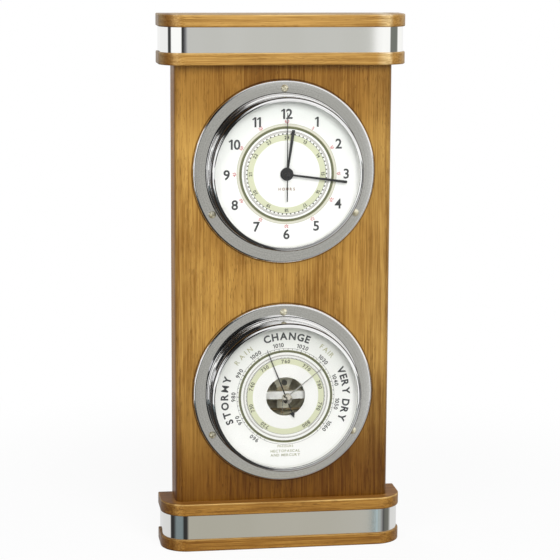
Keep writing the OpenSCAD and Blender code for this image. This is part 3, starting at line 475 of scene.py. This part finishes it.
chromed = metal("chromed_brass", (0.90, 0.90, 0.88, 1), (0.85, 0.85, 0.83, 1), 0.04, 0.03, 0.05,
                45)
for name, z in (("clock", CLOCK_Z), ("barometer", BAROMETER_Z)):
    bezel = turned([(LIP_R, LIP_UNDER), (BEZEL_IN_R, LIP_UNDER), (BEZEL_IN_R, BEZEL_FOOT),
                    (BEZEL_FOOT_R, BEZEL_FOOT), (BEZEL_FOOT_R, BEZEL_FOOT + 0.9),
                    (BEZEL_R + 0.15, BEZEL_FOOT + 1.3), (BEZEL_R, LIP_TOP), (LIP_R, LIP_TOP)],
                   [(4, 0.25), (6, SHOULDER_R), (7, 0.3)])
    instrument_piece(bezel, z, f"turned_{name}_bezel", bezel_chrome(f"chrome_of_{name}_bezel", z),
                     "station", [f"{name}_bezel"])
    cone = turned([(CONE_FOOT_R, DIAL_FACE), (CONE_OUT_R, DIAL_FACE), (CONE_OUT_R, GLASS_BACK),
                   (CONE_TOP_R, GLASS_BACK)])
    instrument_piece(cone, z, f"bright_{name}_spacer_ring", chromed, "station",
                     [f"{name}_spacer_ring"])


# Glasses: discs of clear window glass with ground edges, clamped under the lip. The barometer's
# is drilled for the stem of the set hand.
def clear_glass():
    """Nearly clear in front, a faint mirror where it is seen edge on."""
    finish, place = begin_finish("clear_glass")
    film = place.times(40, 40, 40).noise(3.0)
    through = place.node("ShaderNodeBsdfTransparent", None, {"Color": (0.98, 0.982, 0.976, 1)})
    mirror = place.node("ShaderNodeBsdfPrincipled", None, {
        "Base Color": (1, 1, 1, 1), "Metallic": 1.0, "Roughness": 0.02 + 0.03 * film})
    edge_on = place.node("ShaderNodeLayerWeight", None, {"Blend": 0.5}, "Facing").math("POWER", 4.0)
    both = place.node("ShaderNodeMixShader", None,
                      {0: 0.015 + 0.5 * edge_on, 1: through, 2: mirror})
    place.node("ShaderNodeOutputMaterial", None, {"Surface": both})
    return finish


dress(clear_glass(), "clock_glass", "barometer_glass")


# Dials: sheet brass stove-enamelled white. What is printed on them lies a hair above the enamel,
# one flat piece for each colour of ink.
DIAL_EDGE, PLAIN_MIDDLE, LIT_ENAMEL = 0.050, 0.024, (0.92, 0.917, 0.907, 1)


def enamel(name, colour, rim, z):
    """Stove enamel with painted shade, greyer toward the upper rim where the bezel's shadow falls, and
    painted light, brighter toward the lower.
    """
    finish, place = begin_finish(name)
    peel = place.times(900, 900, 900).noise(2.0)
    tint = place.times(30, 30, 30).noise(3.0)
    # painted shade grows toward the upper rim, and painted light toward the lower
    upward = (place.axis("Z") - z).between(-DIAL_EDGE, DIAL_EDGE)
    outward = place.from_axis(z).between(PLAIN_MIDDLE, DIAL_EDGE)
    tone = (outward * upward + 0.12 * (tint - 0.5)).mixed(colour, rim)
    end_finish(place, {
        "Base Color": (outward * (1 - upward)).mixed(tone, LIT_ENAMEL),
        "Roughness": 0.34 + 0.08 * (peel - 0.5), "Normal": peel.bump(0.00001, 0.2)})
    return finish


# each dial's enamel, and the grey its upper rim is painted in as shade
dress(enamel("clock_enamel", (0.84, 0.838, 0.83, 1), (0.68, 0.70, 0.68, 1), CLOCK_Z), "clock_dial")
dress(enamel("barometer_enamel", (0.80, 0.795, 0.78, 1), (0.60, 0.61, 0.58, 1), BAROMETER_Z),
      "barometer_dial")


class Print:
    """One ink on one dial: flat rings, marks and letters, in the dial's own millimetres."""

    def __init__(self, z, name, colour, rise=0.02):
        self.z, self.name, self.colour = z, name, colour
        self.height = DIAL_FACE + rise
        self.bm = bmesh.new()

    def ring(self, inner, outer):
        start = [self.bm.verts.new((r, 0, self.height)) for r in (inner, outer)]
        edge = self.bm.edges.new(start)
        bmesh.ops.spin(self.bm, geom=start + [edge], cent=(0, 0, 0), axis=(0, 0, 1),
                       dvec=(0, 0, 0), angle=2 * math.pi, steps=180, use_merge=True)

    def mark(self, angle, inner, outer, width):
        place = (Matrix.Rotation(-math.radians(angle), 4, "Z")
                 @ Matrix.Translation((0, (inner + outer) / 2, self.height))
                 @ Matrix.Diagonal((width, outer - inner, 1, 1)))
        bmesh.ops.create_grid(self.bm, x_segments=1, y_segments=1, size=0.5, matrix=place)

    def word(self, letters, height, angle, radius, weight=0.0, gap=0.14, upright=False):
        """Letters along an arc, or upright in a straight row centred on the same place.

        weight thickens their strokes, gap is the space between them as a part of their height.
        """
        glyphs = [glyph(letter, weight) for letter in letters]
        size = height / CAP_HEIGHT
        widths = [(high - low) * size for _, low, high in glyphs]
        along = -(sum(widths) + gap * height * (len(letters) - 1)) / 2
        for (mesh, low, high), width in zip(glyphs, widths):
            middle = along + width / 2
            turn = 0 if upright else angle + math.degrees(middle / radius)
            place = Vector((*on_circle(angle if upright else turn, radius), self.height))
            place.x += middle if upright else 0
            letter = mesh.copy()
            letter.transform(Matrix.Translation(place) @ Matrix.Rotation(-math.radians(turn), 4, "Z")
                             @ Matrix.Scale(size, 4)
                             @ Matrix.Translation((-(low + high) / 2, -CAP_HEIGHT / 2, 0)))
            self.bm.from_mesh(letter)
            bpy.data.meshes.remove(letter)
            along += width + gap * height

    def finish(self):
        ink, place = begin_finish(f"{self.name}_ink")
        screen = place.times(2200, 2200, 2200).noise(1.0)
        end_finish(place, {
            "Base Color": (screen.between(0.3, 0.7) * 0.25).mixed(
                self.colour, tuple(0.85 * part + 0.13 for part in self.colour)),
            "Roughness": 0.45})
        for face in self.bm.faces:
            face.normal_update()
        bmesh.ops.reverse_faces(self.bm, faces=[face for face in self.bm.faces if face.normal.z < 0])
        instrument_piece(self.bm, self.z, self.name, ink, "station")


CAP_HEIGHT = 0.73
made_glyphs = {}


def glyph(letter, weight):
    """A letter as a flat mesh of its own, and where it begins and ends; a 1 gets its flag."""
    if (letter, weight) not in made_glyphs:
        curve = bpy.data.curves.new("letter", "FONT")
        curve.body, curve.resolution_u = letter, 3
        # the strokes of an M would run together at the full weight
        curve.offset = weight / 4 if letter == "M" else weight
        holder = bpy.data.objects.new("letter", curve)
        mesh = bpy.data.meshes.new_from_object(holder)
        bpy.data.objects.remove(holder)
        ends = [vert.co.x for vert in mesh.vertices] or [0, 0.3]
        low, high = min(ends), max(ends)
        if letter == "1":
            flag = bmesh.new()
            flag.from_mesh(mesh)
            bmesh.ops.create_grid(
                flag, x_segments=1, y_segments=1, size=0.5,
                matrix=Matrix.Translation((low - 0.03, 0.61, 0)) @ Matrix.Rotation(0.66, 4, "Z")
                @ Matrix.Diagonal((0.27, 0.075 + weight, 1, 1)))
            flag.to_mesh(mesh)
            flag.free()
            low -= 0.12
        made_glyphs[letter, weight] = mesh, low, high
    return made_glyphs[letter, weight]


def on_circle(angle, radius):
    return radius * math.sin(math.radians(angle)), radius * math.cos(math.radians(angle))


DARK, OLIVE, PALE_OLIVE = paint(46, 48, 50), paint(94, 96, 64), paint(158, 158, 124)
LILAC, BEIGE, PALE_YELLOW = paint(190, 187, 184), paint(208, 205, 192), paint(205, 207, 177)


def print_band(z, name, colour, inner, outer):
    """One plain ring of one ink."""
    band = Print(z, name, colour)
    band.ring(inner, outer)
    band.finish()


# The clock's print: the hours in black, the minutes in red, and within the lilac band the seconds
# as dashes and the hours of the afternoon. The small word under the centre is a plain one.
hours = Print(CLOCK_Z, "clock_hour_numbers", DARK)
for hour in range(1, 13):
    hours.word(str(hour), 6.8, 30 * hour, 41.0, weight=0.022, gap=0.10, upright=True)
hours.finish()

clock_marks = Print(CLOCK_Z, "clock_inner_numbers_and_dashes", paint(70, 72, 58), rise=0.05)
for hour in range(13, 25):
    clock_marks.word(str(hour), 2.3, 30 * hour, 24.9, weight=0.03)
for second in range(60):
    clock_marks.mark(6 * second, 26.9, 27.8, 0.9)
clock_marks.ring(26.75, 26.95)
clock_marks.ring(29.2, 29.35)
clock_marks.finish()

clock_red = Print(CLOCK_Z, "clock_minute_numbers", paint(196, 110, 112))
for minute in range(5, 65, 5):
    clock_red.word(str(minute), 2.0, 6 * minute, 35.9, weight=0.03)
    clock_red.mark(6 * minute, 34.3, 35.2, 0.4)
clock_red.finish()

print_band(CLOCK_Z, "clock_olive_ring", OLIVE, 30.7, 32.3)

clock_pale = Print(CLOCK_Z, "clock_pale_lines_and_word", PALE_OLIVE, rise=0.03)
clock_pale.ring(33.95, 34.2)
clock_pale.ring(32.3, 32.6)
clock_pale.finish()

clock_word = Print(CLOCK_Z, "clock_small_word", paint(150, 122, 104), rise=0.03)
clock_word.word("HOURS", 1.9, 180, 10.2, weight=0.03, gap=0.42, upright=True)
clock_word.finish()

print_band(CLOCK_Z, "clock_beige_band", BEIGE, 32.6, 33.95)
print_band(CLOCK_Z, "clock_lilac_band", LILAC, 27.9, 29.2)
print_band(CLOCK_Z, "clock_yellow_band", PALE_YELLOW, 22.8, 26.75)


# The barometer's print: two rings of numbers give the pressure in hectopascals and in millimetres
# of mercury, and plain words for the weather stand round the rim.
DEGREES_PER_HECTOPASCAL, PRESSURE_AT_TOP = 2.7, 1013

words = Print(BAROMETER_Z, "barometer_weather_words", DARK)
words.word("STORMY", 5.1, -92.5, 42.7, weight=0.036, gap=0.28)
words.word("CHANGE", 5.1, 1, 42.7, weight=0.036, gap=0.20)
words.word("VERY DRY", 5.1, 89, 42.7, weight=0.036, gap=0.14)
words.finish()

pale_words = Print(BAROMETER_Z, "barometer_pale_words", PALE_OLIVE)
pale_words.word("RAIN", 3.5, -45, 42.0, weight=0.012, gap=0.55)
pale_words.word("FAIR", 3.5, 42.5, 42.8, weight=0.012, gap=0.3)
pale_words.word("HECTOPASCAL", 1.9, 180, 38.6, weight=0.022, gap=0.18, upright=True)
pale_words.word("AND MERCURY", 1.9, 180, 41.5, weight=0.022, gap=0.18, upright=True)
pale_words.word("PRESSURE", 1.6, 180, 35.2, weight=0.02, gap=0.2, upright=True)
pale_words.ring(32.6, 32.8)
pale_words.finish()

outer_scale = Print(BAROMETER_Z, "barometer_outer_scale", paint(70, 70, 68), rise=0.03)
for pressure in range(956, 1066, 2):
    angle = (pressure - PRESSURE_AT_TOP) * DEGREES_PER_HECTOPASCAL
    if pressure % 10 == 0:
        outer_scale.word(str(pressure), 2.9, angle, 36.5, weight=0.03)
        outer_scale.mark(angle, 31.1, 34.0, 0.4)
    outer_scale.mark(angle, 33.0, 33.9, 0.34)
outer_scale.ring(33.85, 34.05)
outer_scale.finish()

print_band(BAROMETER_Z, "barometer_olive_ring", OLIVE, 31.1, 32.6)
print_band(BAROMETER_Z, "barometer_lilac_band", LILAC, 28.4, 29.2)

inner_scale = Print(BAROMETER_Z, "barometer_inner_scale", paint(92, 90, 76), rise=0.05)
inner_scale.ring(29.2, 29.4)
for tens in range(-4, 5):
    inner_scale.word(str(760 + 10 * tens), 2.6, 36 * tens, 24.9, weight=0.03)
for mark in range(-72, 73):
    inner_scale.mark(2 * mark, 26.9, 27.7, 0.45)
inner_scale.ring(26.75, 26.95)
inner_scale.finish()

print_band(BAROMETER_Z, "barometer_yellow_band", PALE_YELLOW, 22.9, 26.75)


# Clock hands: stamped aluminium, matt black, pressed on three concentric arbors above a round
# black nut that holds the movement to the dial. The second hand has a small domed cap.
def black_lacquer():
    finish, place = begin_finish("matt_black_hands")
    grain = place.times(1800, 1800, 1800).noise(2.0)
    end_finish(place, {
        "Base Color": grain.between(0.3, 0.7).mixed((0.016, 0.016, 0.017, 1), (0.03, 0.03, 0.032, 1)),
        "Roughness": 0.42 + 0.1 * (grain - 0.5), "Normal": grain.bump(0.00001, 0.3)})
    return finish


HAND_CAP_R, HAND_CAP_FOOT, HAND_CAP_SIDE, HAND_CAP_TOP = 1.5, 16.4, 16.95, 16.98
hand_black = black_lacquer()
dress(hand_black, "hour_hand", "minute_hand", "second_hand", "movement_nut", "pressure_pointer")
hub = turned([(0, HAND_CAP_FOOT), (HAND_CAP_R, HAND_CAP_FOOT), (HAND_CAP_R, HAND_CAP_SIDE),
              (0, HAND_CAP_TOP)], [(2, 0.3)], 64, closed=False)
instrument_piece(hub, CLOCK_Z, "second_hand_cap", hand_black, "second_hand_body")


# Clock movement: a square case of black moulded plastic with a clipped cover, a bay for one cell
# between two spring contacts, a rubber washer in front, and a ribbed knob that sets the hands.
def moulded(name, colour, speck):
    finish, place = begin_finish(name)
    spark = place.times(2500, 2500, 2500).noise(2.0)
    end_finish(place, {
        "Base Color": spark.between(0.35, 0.65).mixed(colour, speck),
        "Roughness": 0.48 + 0.14 * (spark - 0.5), "Normal": spark.bump(0.00003, 0.5)})
    return finish


COPPER_X, BUTTON_X = 0.0100, 0.0244


def cell_sleeve():
    """Shrunk plastic sleeve in two plain colours, with the bare button end in metal."""
    finish, place = begin_finish("cell_sleeve")
    copper = place.axis("X").between(COPPER_X - 0.0002, COPPER_X + 0.0002)
    button = place.axis("X").between(BUTTON_X - 0.0001, BUTTON_X + 0.0001)
    scuff = place.times(300, 900, 900).noise(3.0)
    sleeve = copper.mixed(paint(58, 62, 68), paint(176, 128, 74))
    end_finish(place, {
        "Base Color": button.mixed(sleeve, paint(200, 200, 198)), "Metallic": button * 0.95,
        "Roughness": 0.26 + 0.16 * (scuff - 0.4), "Normal": scuff.bump(0.00001, 0.3)})
    return finish


black_plastic = moulded("moulded_black_plastic", (0.018, 0.018, 0.02, 1), (0.028, 0.028, 0.03, 1))
cover_plastic = moulded("moulded_cover", (0.026, 0.026, 0.028, 1), (0.04, 0.04, 0.043, 1))
bright_steel = metal("bright_spring_steel", paint(204, 205, 206), paint(170, 172, 174), 0.24, 0.14,
                     0.25, 120)
turned_brass = metal("turned_brass", paint(206, 172, 104), paint(164, 128, 66), 0.26, 0.16, 0.25, 200)
dress(black_plastic, "movement_housing", "time_set_knob")
dress(cover_plastic, "movement_cover")
dress(moulded("washer_rubber", (0.02, 0.02, 0.02, 1), (0.03, 0.03, 0.03, 1)), "movement_washer")
dress(cell_sleeve(), "movement_cell")
dress(bright_steel, "cell_contacts", "second_arbor")
dress(turned_brass, "hour_tube", "minute_arbor")


# Aneroid movement: a corrugated capsule of nickel-silver under a strong steel spring. A pin at
# the spring's end rocks a brass lever, whose arm pulls a chain round the pointer's arbor.
blued = metal("blued_screws", paint(120, 120, 112), paint(84, 84, 76), 0.34, 0.12, 0.2, 300,
              metallic=0.4)
capsule_metal = metal("rolled_nickel_silver", paint(232, 226, 200), paint(204, 198, 168), 0.45, 0.14,
                      0.3, 90, metallic=0.25)
dull_steel = metal("pale_spring_steel", paint(244, 240, 220), paint(220, 216, 192), 0.50, 0.14, 0.4, 90,
                   metallic=0.15)
lacquered_brass = metal("lacquered_brass", paint(206, 184, 138), paint(160, 136, 94), 0.36, 0.14, 0.3,
                        220, metallic=0.35)
bridge_steel = metal("brushed_bridge_steel", paint(240, 240, 236), paint(214, 214, 210), 0.45, 0.14,
                     0.3, 120, metallic=0.2)
dress(capsule_metal, "aneroid_capsule")
dress(dull_steel, "main_spring", "aneroid_base_plate", "bridge_lower_bar")
dress(bridge_steel, "bridge_upper_bar")
dress(bright_steel, "transmission_chain")
dress(blued, "main_spring_screws", "bridge_screws", "aneroid_post_screws")
dress(lacquered_brass, "lever_brackets", "rocking_lever", "spring_link", "hairspring")
dress(turned_brass, "aneroid_posts", "bridge_pillars", "pointer_arbor", "adjusting_screw")


# Set hand: a bright hand under the glass on the stem of a small domed knob in front of it, which
# is turned over the pointer to see how the pressure has changed.
KNOB_FOOT, KNOB_SIDE, KNOB_R, STEM_R = 18.9, 21.4, 3.5, 1.2
dress(metal("polished_chrome", (0.95, 0.95, 0.94, 1), (0.90, 0.90, 0.89, 1), 0.02, 0.02, 0.03, 40),
      "set_hand")
knob_top, stem_foot = ((PANEL_FRONT - corner.y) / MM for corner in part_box("set_hand_knob"))
knob = turned([(0, stem_foot), (STEM_R, stem_foot), (STEM_R, KNOB_FOOT), (KNOB_R, KNOB_FOOT),
               (KNOB_R, KNOB_SIDE), (0.72 * KNOB_R, KNOB_SIDE + 1.05), (0, knob_top)],
              [(4, 0.5), (5, 1.6)], 96, closed=False)
instrument_piece(knob, BAROMETER_Z, "turned_set_hand_knob", metal(
    "polished_knob_brass", paint(222, 218, 204), paint(206, 200, 184), 0.22, 0.06, 0.1, 200),
    "set_hand_body", ["set_hand_knob"], 50)


# Studio: a white floor, a large soft lamp above the front on the right, a weaker one on the left
# and one behind, and a room whose pale walls and dark gaps are what the chrome mirrors.
floor_mesh = bpy.data.meshes.new("floor")
floor_bm = bmesh.new()
bmesh.ops.create_grid(floor_bm, x_segments=1, y_segments=1, size=6.0)
floor_bm.to_mesh(floor_mesh)
floor_bm.free()
floor = bpy.data.objects.new("floor", floor_mesh)
bpy.context.scene.collection.objects.link(floor)
floor.visible_glossy = False
floor_finish, floor_place = begin_finish("white_floor")
paper = floor_place.node("ShaderNodeBsdfDiffuse", None, {"Color": (0.93, 0.93, 0.93, 1)})
white = floor_place.node("ShaderNodeEmission", None, {"Color": (1, 1, 1, 1), "Strength": 1.0})
looked_at = floor_place.node("ShaderNodeLightPath", None, None, "Is Camera Ray")
# under the object the paper takes a faint shadow, farther out it is plain white to the camera
whiteness = looked_at * (0.9 + 0.1 * floor_place.length().between(0.2, 0.5))
floor_place.node("ShaderNodeOutputMaterial", None, {"Surface": floor_place.node(
    "ShaderNodeMixShader", None, {0: whiteness, 1: paper, 2: white})})
floor_mesh.materials.append(floor_finish)


def lamp(name, place, target, size, power):
    light = bpy.data.lights.new(name, "AREA")
    light.shape, light.size, light.energy = "DISK", size, power
    holder = bpy.data.objects.new(name, light)
    bpy.context.scene.collection.objects.link(holder)
    holder.location = place
    holder.rotation_euler = (Vector(target) - Vector(place)).to_track_quat("-Z", "Y").to_euler()
    holder.visible_camera = False
    holder.visible_glossy = False


lamp("key_lamp", (0.20, -1.10, 0.85), (0.0, 0.0, 0.24), 0.8, 14.0)
lamp("fill_lamp", (-0.85, -1.05, 0.75), (0.0, 0.0, 0.24), 0.9, 6.5)
lamp("back_lamp", (-0.5, 1.3, 0.8), (0.0, 0.0, 0.2), 0.9, 6.0)

world = bpy.data.worlds.new("studio")
bpy.context.scene.world = world
world.use_nodes = True
world.node_tree.nodes.clear()
sky = Strand(world.node_tree)
toward = sky.node("ShaderNodeTexCoord", None, None, "Generated")
bearing = toward.axis("X").math("ARCTAN2", -1 * toward.axis("Y")) / (2 * math.pi) + 0.5


def room(*stops):
    """Grey levels round the room, 0 degrees straight in front and positive to the right.

    A level may be followed by how much redder and bluer than grey it is.
    """
    ramp = []
    for degrees, level, *tint in stops:
        red, blue = tint or (1, 1)
        ramp.append(((degrees + 180) / 360, (level * red, level, level * blue, 1)))
    return bearing.node("ShaderNodeValToRGB", {"stops": ramp}, {"Fac": bearing})


below = room((-180, 0.6), (-130, 0.6), (-110, 0.04), (0, 0.04), (8, 0.25), (60, 0.4), (120, 0.7),
             (180, 0.6))
ground = room((-180, 0.72), (-90, 0.7), (-84, 0.03), (-68, 0.04), (-54, 0.24, 0.82, 1.05),
              (-26, 0.24, 0.82, 1.05), (-18, 0.03), (-4, 0.04), (4, 0.34, 1.05, 0.88),
              (5.6, 0.41, 1.04, 0.86), (9.8, 0.42, 1.04, 0.87), (11.3, 0.44, 1.03, 0.90),
              (12.7, 0.40, 0.88, 1), (28, 0.42, 0.9, 1), (36, 0.30), (46, 0.08), (54, 0.14, 1, 0.9),
              (74, 0.17, 1, 0.9), (88, 0.7), (180, 0.72))
foreground = room((-180, 0.45), (-160, 0.45), (-120, 0.8), (-110, 0.8), (-104, 0.03), (-64, 0.03),
                  (-60, 1), (-24, 1), (-20, 0.03), (4, 0.03), (5.4, 0.40, 1.01, 0.93),
                  (11.6, 0.41, 1.01, 0.93), (13, 1), (46, 1), (50, 0.06), (88, 0.06), (95, 0.9),
                  (180, 0.45))
table_edge = room((-180, 0.45), (-160, 0.45), (-120, 0.85), (-110, 0.85), (-104, 0.03),
                  (-64, 0.03), (-60, 1), (-18, 1), (-12, 0.62, 1, 1.05), (-8, 0.58, 1, 1.05),
                  (-6, 0.04), (4, 0.04), (5.4, 0.40, 1.01, 0.93), (11.6, 0.41, 1.01, 0.93),
                  (13, 1), (46, 1), (50, 0.06), (88, 0.06), (95, 0.9), (180, 0.45))
eye_level = room((-180, 0.9), (-97, 0.87), (-92, 0.85), (-88, 0.05), (-75, 0.05), (-70, 1),
                 (-24, 1), (-20, 0.03), (-12, 0.05, 1, 1.05), (-3, 0.22, 1, 1.05), (4, 0.47),
                 (6, 0.55, 1, 0.96), (12.6, 0.56, 1, 0.96), (14, 1), (46, 1), (50, 0.19, 0.95, 0.9),
                 (86, 0.19, 0.95, 0.9), (95, 1), (180, 0.9))
above = room((-180, 0.9), (-150, 0.9), (-120, 1), (-100, 1), (-90, 0.04), (-75, 0.04), (-68, 1),
             (-25, 1), (-19, 0.02), (1, 0.02), (5, 0.8), (9, 1), (140, 1), (160, 0.9), (180, 0.9))
upper = room((-180, 0.3), (-140, 0.3), (-110, 1), (-60, 1), (-52, 0.02), (-2, 0.02), (4, 0.8),
             (140, 1), (160, 0.3), (180, 0.3))
high = room((-180, 0.4), (-150, 0.4), (-145, 0.02), (-30, 0.02), (-22, 0.9), (140, 1), (180, 0.4))
ceiling = room((-180, 1), (-150, 1), (-135, 0.03), (-62, 0.03), (-50, 0.9), (180, 1))

# too narrow for a ramp's stops: where the white wall begins, and where the floor turns bluish
# right of it behind a dark line
degrees_right = bearing * 360 - 180
eye_level = degrees_right.within(11.10, 11.38, 14.0, 16.0).mixed(eye_level, (1, 1, 1, 1))
ground = degrees_right.within(11.42, 11.47, 16.0, 18.0).mixed(ground, (0.40, 0.49, 0.52, 1))
ground = degrees_right.within(11.38, 11.41, 11.45, 11.49).mixed(ground, (0.14, 0.16, 0.15, 1))

mirrored = below
for start, whole, levels in (
        (-0.335, -0.325, ground), (-0.275, -0.268, foreground), (-0.14, -0.13, table_edge),
        (-0.068, -0.062, eye_level), (0.0, 0.03, above), (0.20, 0.25, upper), (0.43, 0.47, high),
        (0.72, 0.78, ceiling)):
    mirrored = toward.axis("Z").between(start, whole).mixed(mirrored, levels)
glossy = sky.node("ShaderNodeLightPath", None, None, "Is Glossy Ray")
seen = (sky.node("ShaderNodeLightPath", None, None, "Is Camera Ray")
        + sky.node("ShaderNodeLightPath", None, None, "Is Transmission Ray")).math("MINIMUM", 1.0)
DIM_FILL, WHITE = (0.25, 0.255, 0.26, 1), (1, 1, 1, 1)
shown = seen.mixed(glossy.mixed(DIM_FILL, mirrored), WHITE)
sky.node("ShaderNodeOutputWorld", None, {
    "Surface": sky.node("ShaderNodeBackground", None, {"Color": shown, "Strength": 1.0})})


# Camera: a long lens a little left of the middle and above, as the object was photographed. Its
# place, turns and focal length were fitted to the outline and the two rings in the photograph.
CAMERA_PLACE, YAW, PITCH, ROLL = (-0.2020, -1.3394, 0.4221), 0.1491, 0.1710, 0.0047
FOCAL_PIXELS, FRAME_PIXELS, SENSOR = 1976.0, 560, 36
look = Vector((math.sin(YAW) * math.cos(PITCH), math.cos(YAW) * math.cos(PITCH), -math.sin(PITCH)))
level = Vector((math.cos(YAW), -math.sin(YAW), 0))
right = math.cos(ROLL) * level + math.sin(ROLL) * level.cross(look)
up = right.cross(look)
lens = bpy.data.cameras.new("camera")
lens.sensor_width = SENSOR
lens.lens = SENSOR * FOCAL_PIXELS / FRAME_PIXELS
lens.clip_start, lens.clip_end = 0.05, 50
camera = bpy.data.objects.new("camera", lens)
bpy.context.scene.collection.objects.link(camera)
camera.matrix_world = Matrix.Translation(CAMERA_PLACE) @ Matrix(
    (right, up, -look)).transposed().to_4x4()
bpy.context.scene.camera = camera

bpy.context.scene.view_settings.view_transform = "Standard"
